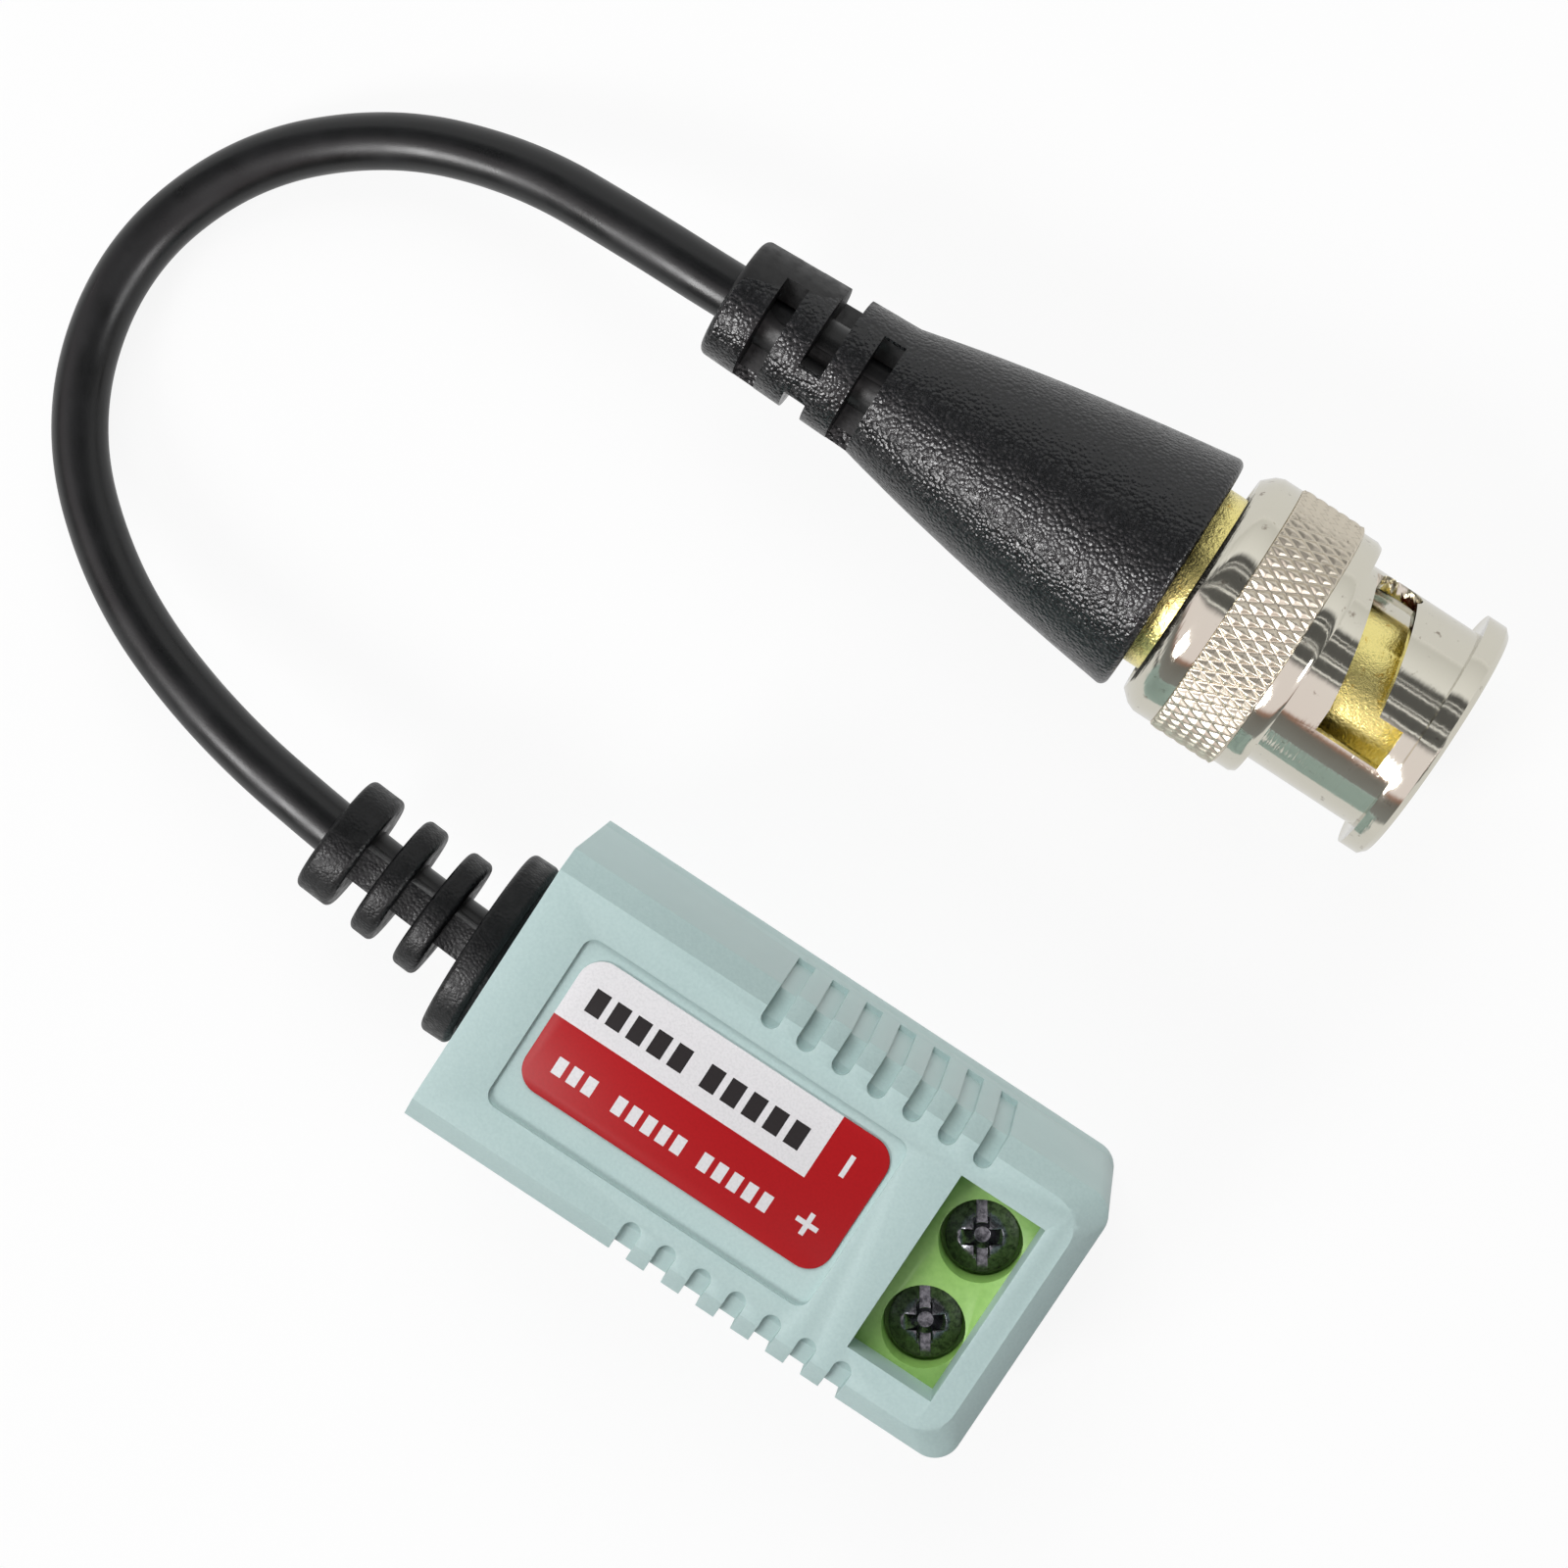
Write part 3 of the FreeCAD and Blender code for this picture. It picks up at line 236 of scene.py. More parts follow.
@dataclass(frozen=True)
class MouldedPlastic(Finish):
    """Injection-moulded plastic from a spark-eroded mould: an even satin with a fine grain."""

    colour: str = "#B1C7C5"
    shade: str = "#A7BEBD"
    cloud_mm: float = 6.0  # streaks from the flow of the melt
    cloud_share: float = 0.45
    grain_mm: float = 0.16  # a mould's grain is about 0.05 mm wide; coarser here, so that it shows
    grain_depth_mm: float = 0.010
    roughness: float = 0.46
    swing: tuple[float, float] = (-0.06, 0.08)

    def material(self) -> bpy.types.Material:
        """Satin colour with faint clouds, and the mould's grain as bump and gloss."""
        mat, tree, shader, where = self.begin(Roughness=self.roughness, IOR=1.53)
        cloud = add(
            tree,
            "ShaderNodeTexNoise",
            {"Scale": 1 / (self.cloud_mm * MM), "Detail": 3.0, "Roughness": 0.6},
            {"Vector": where},
        )
        fleck = add(
            tree, "ShaderNodeTexNoise", {"Scale": 1 / (self.grain_mm * MM), "Detail": 2.0}, {"Vector": where}
        )
        blend = add(
            tree,
            "ShaderNodeMath",
            {"operation": "MULTIPLY_ADD", 1: self.cloud_share},
            {0: cloud.outputs["Fac"], 2: fleck.outputs["Fac"]},
        )
        bump = add(
            tree,
            "ShaderNodeBump",
            {"Strength": 0.55, "Distance": self.grain_depth_mm * MM},
            {"Height": fleck.outputs["Fac"]},
        )
        stops = ((0.42, self.shade), (0.95, self.colour))
        self.coat(tree, shader, bump, blend.outputs["Value"], stops, fleck.outputs["Fac"])
        return mat


@dataclass(frozen=True)
class GrainedPvc(Finish):
    """Soft PVC moulded round the cable: near black, with a leather-like grain that glints in small cells.

    With core_mm given (radius round the plug's axis and largest x), the surface inside it is what the
    mould's smooth cores form: duller and almost without grain, and darker by painted shade, as the
    windows' floors lie in shadow.
    """

    colour: str = "#0A0B0D"
    # lighter grey mixed in on the pebbles' tops
    top_grey: str = "#141518"
    cell_mm: float = 0.21  # one pebble of the leather grain
    depth_mm: float = 0.072
    relief: float = 0.7
    wander_mm: float = 0.5  # length over which the rows of pebbles bend
    push_mm: float = 0.12
    fine_mm: float = 0.09  # roughness on a pebble
    fine_share: float = -0.25
    roughness: float = 0.20
    swing: tuple[float, float] = (-0.08, 0.14)
    ior: float = 1.56
    core_mm: tuple[float, float] | None = None
    # painted shade: near-black for the windows' floors, which lie in shadow
    core_shade_colour: str = "#020203"
    core_relief: float = 0.08
    core_dulling: float = 0.25

    def material(self) -> bpy.types.Material:
        """Pebbled cells from a Voronoi, broken up by noise, with a faint lighter grey on their tops."""
        mat, tree, shader, where = self.begin(Roughness=self.roughness, IOR=self.ior)
        wander = add(
            tree, "ShaderNodeTexNoise", {"Scale": 1 / (self.wander_mm * MM), "Detail": 2.0}, {"Vector": where}
        )
        push = add(
            tree,
            "ShaderNodeVectorMath",
            {"operation": "SCALE", "Scale": self.push_mm * MM},
            {0: wander.outputs["Color"]},
        )
        moved = add(tree, "ShaderNodeVectorMath", {"operation": "ADD"}, {0: where, 1: push.outputs["Vector"]})
        cells = add(
            tree,
            "ShaderNodeTexVoronoi",
            {"feature": "SMOOTH_F1", "Scale": 1 / (self.cell_mm * MM), "Smoothness": 0.2},
            {"Vector": moved.outputs["Vector"]},
        )
        fine = add(
            tree, "ShaderNodeTexNoise", {"Scale": 1 / (self.fine_mm * MM), "Detail": 2.0}, {"Vector": where}
        )
        height = add(
            tree,
            "ShaderNodeMath",
            {"operation": "MULTIPLY_ADD", 1: self.fine_share},
            {0: fine.outputs["Fac"], 2: cells.outputs["Distance"]},
        )
        bump = add(
            tree,
            "ShaderNodeBump",
            {"invert": True, "Strength": self.relief, "Distance": self.depth_mm * MM},
            {"Height": height.outputs["Value"]},
        )
        stops = ((0.1, self.top_grey), (0.6, self.colour))
        tone, gloss = self.coat(tree, shader, bump, cells.outputs["Distance"], stops, wander.outputs["Fac"])
        if self.core_mm:
            tone, gloss = self.cored(tree, where, bump, tone, gloss)
            feed(tree, shader, Base_Color=tone, Roughness=gloss)
        return mat

    def cored(
        self, tree: Tree, where: Socket, bump: Node, tone: Socket, gloss: Socket
    ) -> tuple[Socket, Socket]:
        """Changes the surface where the mould's cores form it: less grain, duller, and darker by painted shade.

        Args:
            tree: node tree that takes the nodes.
            where: Object coordinates.
            bump: the grain, whose strength falls there.
            tone: colour outside the cores.
            gloss: roughness outside the cores.

        Returns:
            Colour and roughness everywhere.
        """
        radius, limit = (value * MM for value in self.core_mm)
        split, reach = off_axis(tree, where)
        near = add(tree, "ShaderNodeMath", {"operation": "LESS_THAN", 1: radius}, {0: reach.outputs["Value"]})
        rear = add(tree, "ShaderNodeMath", {"operation": "LESS_THAN", 1: limit}, {0: split.outputs["X"]})
        both = add(
            tree,
            "ShaderNodeMath",
            {"operation": "MULTIPLY"},
            {0: near.outputs["Value"], 1: rear.outputs["Value"]},
        )
        inner = both.outputs["Value"]
        # painted shade: the cores' surface is mixed towards near-black
        dark = add(
            tree,
            "ShaderNodeMix",
            {"data_type": "RGBA", 7: srgb(self.core_shade_colour)},
            {"Factor": inner, 6: tone},
        )
        grain = add(
            tree, "ShaderNodeMapRange", {"To Min": self.relief, "To Max": self.core_relief}, {"Value": inner}
        )
        feed(tree, bump, Strength=grain.outputs["Result"])
        dulled = add(
            tree, "ShaderNodeMath", {"operation": "MULTIPLY_ADD", 1: self.core_dulling}, {0: inner, 2: gloss}
        )
        return dark.outputs[2], dulled.outputs["Value"]


@dataclass(frozen=True)
class ExtrudedJacket(Finish):
    """PVC cable jacket, drawn through a die: smooth and satin, with faint waviness."""

    colour: str = "#0A0B0D"
    shade: str = "#040506"
    wave_mm: float = 2.5  # unevenness from the die
    skin_mm: float = 0.14  # the real skin is about 0.03 mm fine; coarser here, so that it shows
    skin_depth_mm: float = 0.008
    roughness: float = 0.31
    swing: tuple[float, float] = (-0.05, 0.09)

    def material(self) -> bpy.types.Material:
        """Satin black with a slow change of gloss and a very fine skin."""
        mat, tree, shader, where = self.begin(Roughness=self.roughness, IOR=1.50)
        slow = add(
            tree, "ShaderNodeTexNoise", {"Scale": 1 / (self.wave_mm * MM), "Detail": 3.0}, {"Vector": where}
        )
        skin = add(
            tree, "ShaderNodeTexNoise", {"Scale": 1 / (self.skin_mm * MM), "Detail": 3.0}, {"Vector": where}
        )
        bump = add(
            tree,
            "ShaderNodeBump",
            {"Strength": 0.5, "Distance": self.skin_depth_mm * MM},
            {"Height": skin.outputs["Fac"]},
        )
        stops = ((0.3, self.shade), (0.75, self.colour))
        self.coat(tree, shader, bump, slow.outputs["Fac"], stops, slow.outputs["Fac"])
        return mat


@dataclass(frozen=True)
class TurnedPlate(Finish):
    """Turned brass with a bright plating, a little uneven, over rings that the tool left round the axis."""

    colour: str = "#DDD9CB"
    stain: str = "#A0978A"
    cloud_mm: float = 0.7  # patches in the plating
    roughness: float = 0.075
    swing: tuple[float, float] = (0.05, -0.03)
    ring_mm: float = 0.16  # the tool's feed in a turn
    ring_depth_mm: float = 0.017
    chatter_rad: float = 0.30  # turn over which a ring stays even
    pit_mm: float = 0.0  # width of the blank's pits, 0 for none
    pit_depth: float = 0.32  # as a share of a pit's width

    def material(self) -> bpy.types.Material:
        """Rings are a noise stretched round the axis: fine along X and radius, slow round the turn."""
        mat, tree, shader, where = self.begin(Metallic=1.0, Roughness=self.roughness)
        split, reach = off_axis(tree, where)
        along = add(
            tree, "ShaderNodeMath", {"operation": "ADD"}, {0: split.outputs["X"], 1: reach.outputs["Value"]}
        )
        angle = add(
            tree, "ShaderNodeMath", {"operation": "ARCTAN2"}, {0: split.outputs["Y"], 1: split.outputs["Z"]}
        )
        turn = add(
            tree,
            "ShaderNodeMath",
            {"operation": "MULTIPLY", 1: self.ring_mm * MM / self.chatter_rad},
            {0: angle.outputs["Value"]},
        )
        ringed = add(
            tree, "ShaderNodeCombineXYZ", links={"X": along.outputs["Value"], "Y": turn.outputs["Value"]}
        )
        rings = add(
            tree,
            "ShaderNodeTexNoise",
            {"Scale": 1 / (self.ring_mm * MM), "Detail": 2.0, "Roughness": 0.6},
            {"Vector": ringed.outputs["Vector"]},
        )
        cloud = add(
            tree,
            "ShaderNodeTexNoise",
            {"Scale": 1 / (self.cloud_mm * MM), "Detail": 4.0, "Roughness": 0.65},
            {"Vector": where},
        )
        bump = add(
            tree,
            "ShaderNodeBump",
            {"Strength": 0.6, "Distance": self.ring_depth_mm * MM},
            {"Height": rings.outputs["Fac"]},
        )
        if self.pit_mm:
            pits = add(
                tree,
                "ShaderNodeTexNoise",
                {"Scale": 1 / (self.pit_mm * MM), "Detail": 3.0, "Roughness": 0.7},
                {"Vector": where},
            )
            bump = add(
                tree,
                "ShaderNodeBump",
                {"Strength": 0.75, "Distance": self.pit_mm * self.pit_depth * MM},
                {"Height": pits.outputs["Fac"], "Normal": bump.outputs["Normal"]},
            )
        stops = ((0.27, self.stain), (0.37, self.colour))
        self.coat(tree, shader, bump, cloud.outputs["Fac"], stops, cloud.outputs["Fac"], (0.3, 0.75))
        return mat


@dataclass(frozen=True)
class PressedMetal(Finish):
    """Stamped or headed metal with a thin plating: bright, scuffed, without tool rings."""

    colour: str = "#C4C3BF"
    dull: str = "#8F8E8A"
    roughness: float = 0.22
    swing: tuple[float, float] = (0.15, -0.05)
    scuff_mm: float = 0.25  # one scuff from the barrel it was plated in
    dent_mm: float = 0.012

    def material(self) -> bpy.types.Material:
        """One noise dulls the plating in scuffs and dents it a little."""
        mat, tree, shader, where = self.begin(Metallic=1.0, Roughness=self.roughness)
        scuff = add(
            tree,
            "ShaderNodeTexNoise",
            {"Scale": 1 / (self.scuff_mm * MM), "Detail": 4.0, "Roughness": 0.7},
            {"Vector": where},
        )
        bump = add(
            tree,
            "ShaderNodeBump",
            {"Strength": 0.5, "Distance": self.dent_mm * MM},
            {"Height": scuff.outputs["Fac"]},
        )
        stops = ((0.35, self.dull), (0.6, self.colour))
        self.coat(tree, shader, bump, scuff.outputs["Fac"], stops, scuff.outputs["Fac"])
        return mat


@dataclass(frozen=True)
class Mottled(Finish):
    """Plain non-metal inside the part: two close tones in grains of one size, with a bump from them."""

    colour: str = "#303030"
    second: str = "#262626"
    grain_mm: float = 0.2  # grains or weave of the material
    depth_mm: float = 0.01

    def material(self) -> bpy.types.Material:
        """One noise carries tone and relief."""
        mat, tree, shader, where = self.begin(Roughness=self.roughness, IOR=1.5)
        grains = add(
            tree, "ShaderNodeTexNoise", {"Scale": 1 / (self.grain_mm * MM), "Detail": 3.0}, {"Vector": where}
        )
        bump = add(
            tree,
            "ShaderNodeBump",
            {"Strength": 0.5, "Distance": self.depth_mm * MM},
            {"Height": grains.outputs["Fac"]},
        )
        stops = ((0.35, self.second), (0.65, self.colour))
        self.coat(tree, shader, bump, grains.outputs["Fac"], stops)
        return mat


@dataclass(frozen=True)
class PrintRow:
    """Row of equal blocks in the place of a word, in millimetres."""

    start: float
    count: int
    pitch: float
    middle_y: float
    half_x: float
    half_y: float


@dataclass(frozen=True)
class PrintedFilm(Finish):
    """Label of printed vinyl film: white and red ink fields with plain blocks where lines of print would be."""

    roughness: float = 0.42
    red: str = "#A81117"
    white: str = "#DDDBDD"
    ink: str = "#2A2627"
    field_mm: tuple[float, float] = (2.30, 0.66)
    minus_mm: tuple[float, float] = (3.78, 2.30)
    plus_mm: tuple[float, float] = (3.69, -1.22)
    stroke_mm: float = 0.27
    arm_mm: float = 0.62
    black_rows: tuple[PrintRow, ...] = (
        PrintRow(-11.45, 5, 1.21, 2.23, 0.42, 0.66),
        PrintRow(-4.72, 5, 1.24, 2.23, 0.43, 0.66),
    )
    white_rows: tuple[PrintRow, ...] = (
        PrintRow(-11.15, 3, 0.87, -1.47, 0.28, 0.47),
        PrintRow(-7.65, 5, 0.87, -1.47, 0.28, 0.47),
        PrintRow(-2.60, 5, 0.88, -1.47, 0.28, 0.47),
    )
    dot_mm: float = 0.13  # dots of a printing screen of 77 lines in a centimetre
    peel_mm: float = 0.22  # orange peel of the film
    peel_depth_mm: float = 0.008

    def material(self) -> bpy.types.Material:
        """Masks from the position in millimetres pick the ink; a fine orange peel lies over all."""
        mat, tree, shader, where = self.begin(Roughness=self.roughness, IOR=1.5, Specular_IOR_Level=0.2)
        scaled = add(tree, "ShaderNodeVectorMath", {"operation": "SCALE", "Scale": 1 / MM}, {0: where})
        split = add(tree, "ShaderNodeSeparateXYZ", links={"Vector": scaled.outputs["Vector"]})
        x, y = split.outputs["X"], split.outputs["Y"]

        def maths(operation: str, first: object, second: object = None) -> Socket:
            """One sum; numbers go on the sockets and outputs are linked."""
            settings: dict = {"operation": operation}
            links: dict = {}
            for index, value in enumerate((first, second)):
                if isinstance(value, Socket):
                    links[index] = value
                elif value is not None:
                    settings[index] = value
            return add(tree, "ShaderNodeMath", settings, links).outputs["Value"]

        def within(value: Socket, middle: float, half: float) -> Socket:
            """1 where the value lies within half of the middle."""
            return maths("LESS_THAN", maths("ABSOLUTE", maths("SUBTRACT", value, middle)), half)

        def patch(middle_x: float, middle_y: float, half_x: float, half_y: float) -> Socket:
            """1 inside a rectangle, given in millimetres."""
            return maths("MULTIPLY", within(x, middle_x, half_x), within(y, middle_y, half_y))

        def word(row: PrintRow) -> Socket:
            """1 inside the blocks of a row: the position in the pitch tells block from gap."""
            turn = maths("FRACT", maths("DIVIDE", maths("SUBTRACT", x, row.start), row.pitch))
            half = row.count * row.pitch / 2
            span = patch(row.start + half, row.middle_y, half, row.half_y)
            return maths("MULTIPLY", within(turn, 0.5, row.half_x / row.pitch), span)

        def either(*masks: Socket) -> Socket:
            """1 where any of the masks is 1."""
            return reduce(lambda one, other: maths("MAXIMUM", one, other), masks)

        half_stroke = self.stroke_mm / 2
        right, lower = self.field_mm
        pale = either(
            maths("MULTIPLY", maths("LESS_THAN", x, right), maths("GREATER_THAN", y, lower)),
            patch(*self.minus_mm, half_stroke, self.arm_mm),
            patch(*self.plus_mm, half_stroke, self.arm_mm),
            patch(*self.plus_mm, self.arm_mm, half_stroke),
            *(word(row) for row in self.white_rows),
        )
        ground = add(
            tree,
            "ShaderNodeMix",
            {"data_type": "RGBA", 6: srgb(self.red), 7: srgb(self.white)},
            {"Factor": pale},
        )
        inked = add(
            tree,
            "ShaderNodeMix",
            {"data_type": "RGBA", 7: srgb(self.ink)},
            {"Factor": either(*(word(row) for row in self.black_rows)), 6: ground.outputs[2]},
        )
        dots = add(
            tree, "ShaderNodeTexNoise", {"Scale": 1 / (self.dot_mm * MM), "Detail": 1.0}, {"Vector": where}
        )
        depth = add(
            tree,
            "ShaderNodeMapRange",
            {"From Min": 0.3, "From Max": 0.6, "To Min": 0.92, "To Max": 1.0},
            {"Value": dots.outputs["Fac"]},
        )
        screened = add(
            tree,
            "ShaderNodeVectorMath",
            {"operation": "SCALE"},
            {0: inked.outputs[2], "Scale": depth.outputs["Result"]},
        )
        peel = add(
            tree, "ShaderNodeTexNoise", {"Scale": 1 / (self.peel_mm * MM), "Detail": 2.0}, {"Vector": where}
        )
        bump = add(
            tree,
            "ShaderNodeBump",
            {"Strength": 0.4, "Distance": self.peel_depth_mm * MM},
            {"Height": peel.outputs["Fac"]},
        )
        feed(tree, shader, Base_Color=screened.outputs["Vector"], Normal=bump.outputs["Normal"])
        return mat


# Mesh helpers


def mesh_from_grid(name: str, points: np.ndarray, closed_u: bool, closed_v: bool) -> bpy.types.Object:
    """Puts a grid of points into a mesh of quads.

    Args:
        name: the new object's name.
        points: array of shape (u, v, 3) in metres.
        closed_u: joins the last row to the first.
        closed_v: joins the last column to the first.

    Returns:
        The new object, linked to the scene.
    """
    rows, columns = points.shape[:2]
    number = np.arange(rows * columns).reshape(rows, columns)
    if closed_u:
        number = np.vstack([number, number[:1]])
    if closed_v:
        number = np.hstack([number, number[:, :1]])
    quads = np.stack([number[:-1, :-1], number[1:, :-1], number[1:, 1:], number[:-1, 1:]], axis=-1)
    quads = quads.reshape(-1, 4)
    mesh = bpy.data.meshes.new(name)
    mesh.vertices.add(rows * columns)
    mesh.vertices.foreach_set("co", points.reshape(-1).astype(np.float32))
    mesh.loops.add(quads.size)
    mesh.loops.foreach_set("vertex_index", quads.reshape(-1).astype(np.int32))
    mesh.polygons.add(len(quads))
    mesh.polygons.foreach_set("loop_start", np.arange(0, quads.size, 4, dtype=np.int32))
    mesh.update(calc_edges=True)
    mesh.validate()
    item = bpy.data.objects.new(name, mesh)
    bpy.context.scene.collection.objects.link(item)
    return item


def outward(item: bpy.types.Object) -> None:
    """Turns a closed mesh's faces outwards."""
    work = bmesh.new()
    work.from_mesh(item.data)
    bmesh.ops.recalc_face_normals(work, faces=work.faces)
    work.to_mesh(item.data)
    work.free()


def merged_copy(node: str, name: str) -> bpy.types.Object:
    """Copies a CAD node's loose triangles into one joined skin with flat faces.

    Args:
        node: the CAD node.
        name: the copy's name.

    Returns:
        The copy, at the origin.
    """
    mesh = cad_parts[node].data.copy()
    mesh.name = name
    mesh.materials.clear()
    work = bmesh.new()
    work.from_mesh(mesh)
    bmesh.ops.remove_doubles(work, verts=work.verts, dist=WELD_MM * MM)
    bmesh.ops.dissolve_limit(work, angle_limit=math.radians(FLAT_DEGREES), verts=work.verts, edges=work.edges)
    work.to_mesh(mesh)
    work.free()
    item = bpy.data.objects.new(name, mesh)
    bpy.context.scene.collection.objects.link(item)
    return item


def soften(item: bpy.types.Object, width_mm: float, segments: int = 2, angle: float = 34.0) -> None:
    """Rounds a piece's sharp edges with a Bevel and shades the rest smooth.

    Args:
        item: the piece.
        width_mm: how far the rounding reaches from the edge.
        segments: faces across the rounding.
        angle: edges that turn by less than this many degrees stay.
    """
    item.data.shade_smooth()
    edge = item.modifiers.new("edges", "BEVEL")
    edge.width = width_mm * MM
    edge.segments = segments
    edge.limit_method = "ANGLE"
    edge.angle_limit = math.radians(angle)
    edge.harden_normals = True
    edge.miter_outer = "MITER_ARC"


def true_round(item: bpy.types.Object) -> None:
    """Applies a turned piece's modifiers, then shades its turned faces as true circles.

    A face is turned when its normal lies in the plane through the plug's axis and its middle. Its
    corners keep their slope along the axis, and the rest of each normal points straight away from
    the axis, or towards it in a bore.

    Args:
        item: the piece.
    """
    shaped = item.evaluated_get(bpy.context.evaluated_depsgraph_get())
    mesh = bpy.data.meshes.new_from_object(shaped)
    item.modifiers.clear()
    item.data = mesh

    def read(collection: object, key: str, width: int, kind: type) -> np.ndarray:
        """One attribute of every element as an array."""
        values = np.empty(len(collection) * width, dtype=kind)
        collection.foreach_get(key, values)
        return values.reshape(-1, width) if width > 1 else values

    def away(points: np.ndarray) -> np.ndarray:
        """Unit directions from the axis in Y and Z."""
        offset = points[:, 1:] - np.array(PLUG_AXIS_MM) * MM
        return offset / np.maximum(np.linalg.norm(offset, axis=1), 1e-9)[:, None]

    spots = read(mesh.vertices, "co", 3, np.float32)
    corners = read(mesh.corner_normals, "vector", 3, np.float32)
    owner = np.repeat(np.arange(len(mesh.polygons)), read(mesh.polygons, "loop_total", 1, np.int32))
    normal = read(mesh.polygons, "normal", 3, np.float32)
    facing = np.sum(normal[:, 1:] * away(read(mesh.polygons, "center", 3, np.float32)), axis=1)
    across = np.sqrt(np.clip(1.0 - normal[:, 0] ** 2, 0.0, 1.0))
    turned = (np.abs(np.abs(facing) - across) < TURNED_SLACK)[owner]
    spread = np.sqrt(np.clip(1.0 - corners[:, 0] ** 2, 0.0, 1.0)) * np.sign(facing)[owner]
    place = away(spots[read(mesh.loops, "vertex_index", 1, np.int32)])
    corners[turned, 1:] = (place * spread[:, None])[turned]
    mesh.normals_split_custom_set(corners.tolist())


def dress(item: bpy.types.Object, material: bpy.types.Material) -> None:
    """Gives a piece one material."""
    item.data.materials.clear()
    item.data.materials.append(material)


@dataclass
class Assembly:
    """Base of the sub-assemblies: keeps the finishes and puts them on the pieces."""

    finishes: dict[str, bpy.types.Material]

    def dress_node(self, node: str, finish: str) -> None:
        """Puts a finish on a CAD node whose shape stays."""
        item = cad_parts[node]
        if not item.material_slots:
            item.data.materials.append(None)
        for slot in item.material_slots:
            slot.material = self.finishes[finish]
        LOG.info("%s: %s", node, finish)

    def soft_copy(
        self, node: str, finish: str, width_mm: float, body: Body, segments: int = 2
    ) -> bpy.types.Object:
        """Replaces a CAD node with a copy whose edges are rounded.

        Args:
            node: the CAD node.
            finish: the name of the finish.
            width_mm: reach of the rounding.
            body: what the piece moves with.
            segments: faces across the rounding.

        Returns:
            The piece.
        """
        item = merged_copy(node, f"{node}_finished")
        soften(item, width_mm, segments)
        self.place(item, finish, body, node)
        return item

    def place(self, item: bpy.types.Object, finish: str, body: Body, *nodes: str) -> None:
        """Dresses a new piece, sets it on its body and lets it stand for CAD nodes.

        Args:
            item: the piece.
            finish: the name of the finish.
            body: what it moves with.
            nodes: CAD nodes that it stands for.
        """
        dress(item, self.finishes[finish])
        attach(item, body.value)
        if nodes:
            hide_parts(*nodes)
        LOG.info("%s: %s on %s", item.name, finish, body.value)


FINISHES: tuple[Finish, ...] = (
    MouldedPlastic("moulded_abs_sea_grey"),
    PrintedFilm("printed_vinyl_film"),
    GrainedPvc("grained_pvc_overmould", core_mm=(3.12, -15.5)),
    GrainedPvc(
        "fine_grained_pvc_relief",
        colour="#050607",
        top_grey="#0A0B0D",
        cell_mm=0.17,
        depth_mm=0.035,
        roughness=0.38,
        ior=1.42,
    ),
    ExtrudedJacket("extruded_pvc_jacket"),
    TurnedPlate("nickel_on_turned_brass"),
    TurnedPlate("nickel_on_rolled_knurl", colour="#E0D7C6", roughness=0.34, ring_depth_mm=0.004),
    TurnedPlate(
        "gold_on_turned_brass",
        colour="#FFF09C",
        stain="#E0B54C",
        roughness=0.16,
        ring_depth_mm=0.010,
        pit_mm=0.2,
    ),
    PressedMetal("nickel_on_steel_screw", colour="#7E7F84", dull="#46474C", roughness=0.13),
    PressedMetal("tinned_brass_clamp", colour="#CFCCC4", dull="#A5A197", roughness=0.3),
    PressedMetal("spring_bronze", colour="#C9A06A", dull="#9A7444", roughness=0.28),
    MouldedPlastic(
        "moulded_polyamide_green", colour="#90BA64", shade="#82AE59", grain_mm=0.3, roughness=0.42
    ),
    Mottled("solder_mask_on_laminate", colour="#1F6B3A", second="#185A30", grain_mm=0.6, roughness=0.3),
    Mottled(
        "sintered_ferrite", colour="#3A3A3D", second="#28282A", grain_mm=0.12, depth_mm=0.02, roughness=0.6
    ),
    Mottled("enamelled_copper_wire", colour="#A84A1E", second="#8C3A16", grain_mm=0.4, roughness=0.2),
    Mottled("epoxy_chip_body", colour="#242425", second="#1B1B1C", grain_mm=0.1, roughness=0.55),
    Mottled("sintered_ceramic_chip", colour="#A98B66", second="#957752", grain_mm=0.15, roughness=0.45),
    Mottled("cellular_dielectric", colour="#E9E9E4", second="#DADAD4", grain_mm=0.3, roughness=0.4),
    Mottled("silicone_gasket", colour="#8C2E1E", second="#7C2618", grain_mm=0.4, roughness=0.5),
)


# Sub-assemblies


@dataclass
class Housing(Assembly):
    """Two-part moulded housing and its label."""

    edge_mm: float = 0.16

    def build(self) -> None:
        """Shell, cover and label."""
        self.soft_copy("housing_shell", "moulded_abs_sea_grey", self.edge_mm, Body.BALUN, 3)
        self.soft_copy("bottom_cover", "moulded_abs_sea_grey", self.edge_mm, Body.BALUN)
        self.soft_copy("printed_label", "printed_vinyl_film", 0.03, Body.BALUN)


@dataclass
class Terminal(Assembly):
    """Two-way screw terminal in the roof window."""

    def build(self) -> None:
        """Block, screws, cages and pins."""
        self.soft_copy("terminal_block", "moulded_polyamide_green", 0.07, Body.BALUN)
        self.soft_copy("terminal_screw_1", "nickel_on_steel_screw", 0.06, Body.SCREW_1)
        self.soft_copy("terminal_screw_2", "nickel_on_steel_screw", 0.06, Body.SCREW_2)
        for node in ("clamp_cage_1", "clamp_cage_2", "terminal_pin_1", "terminal_pin_2"):
            self.dress_node(node, "tinned_brass_clamp")


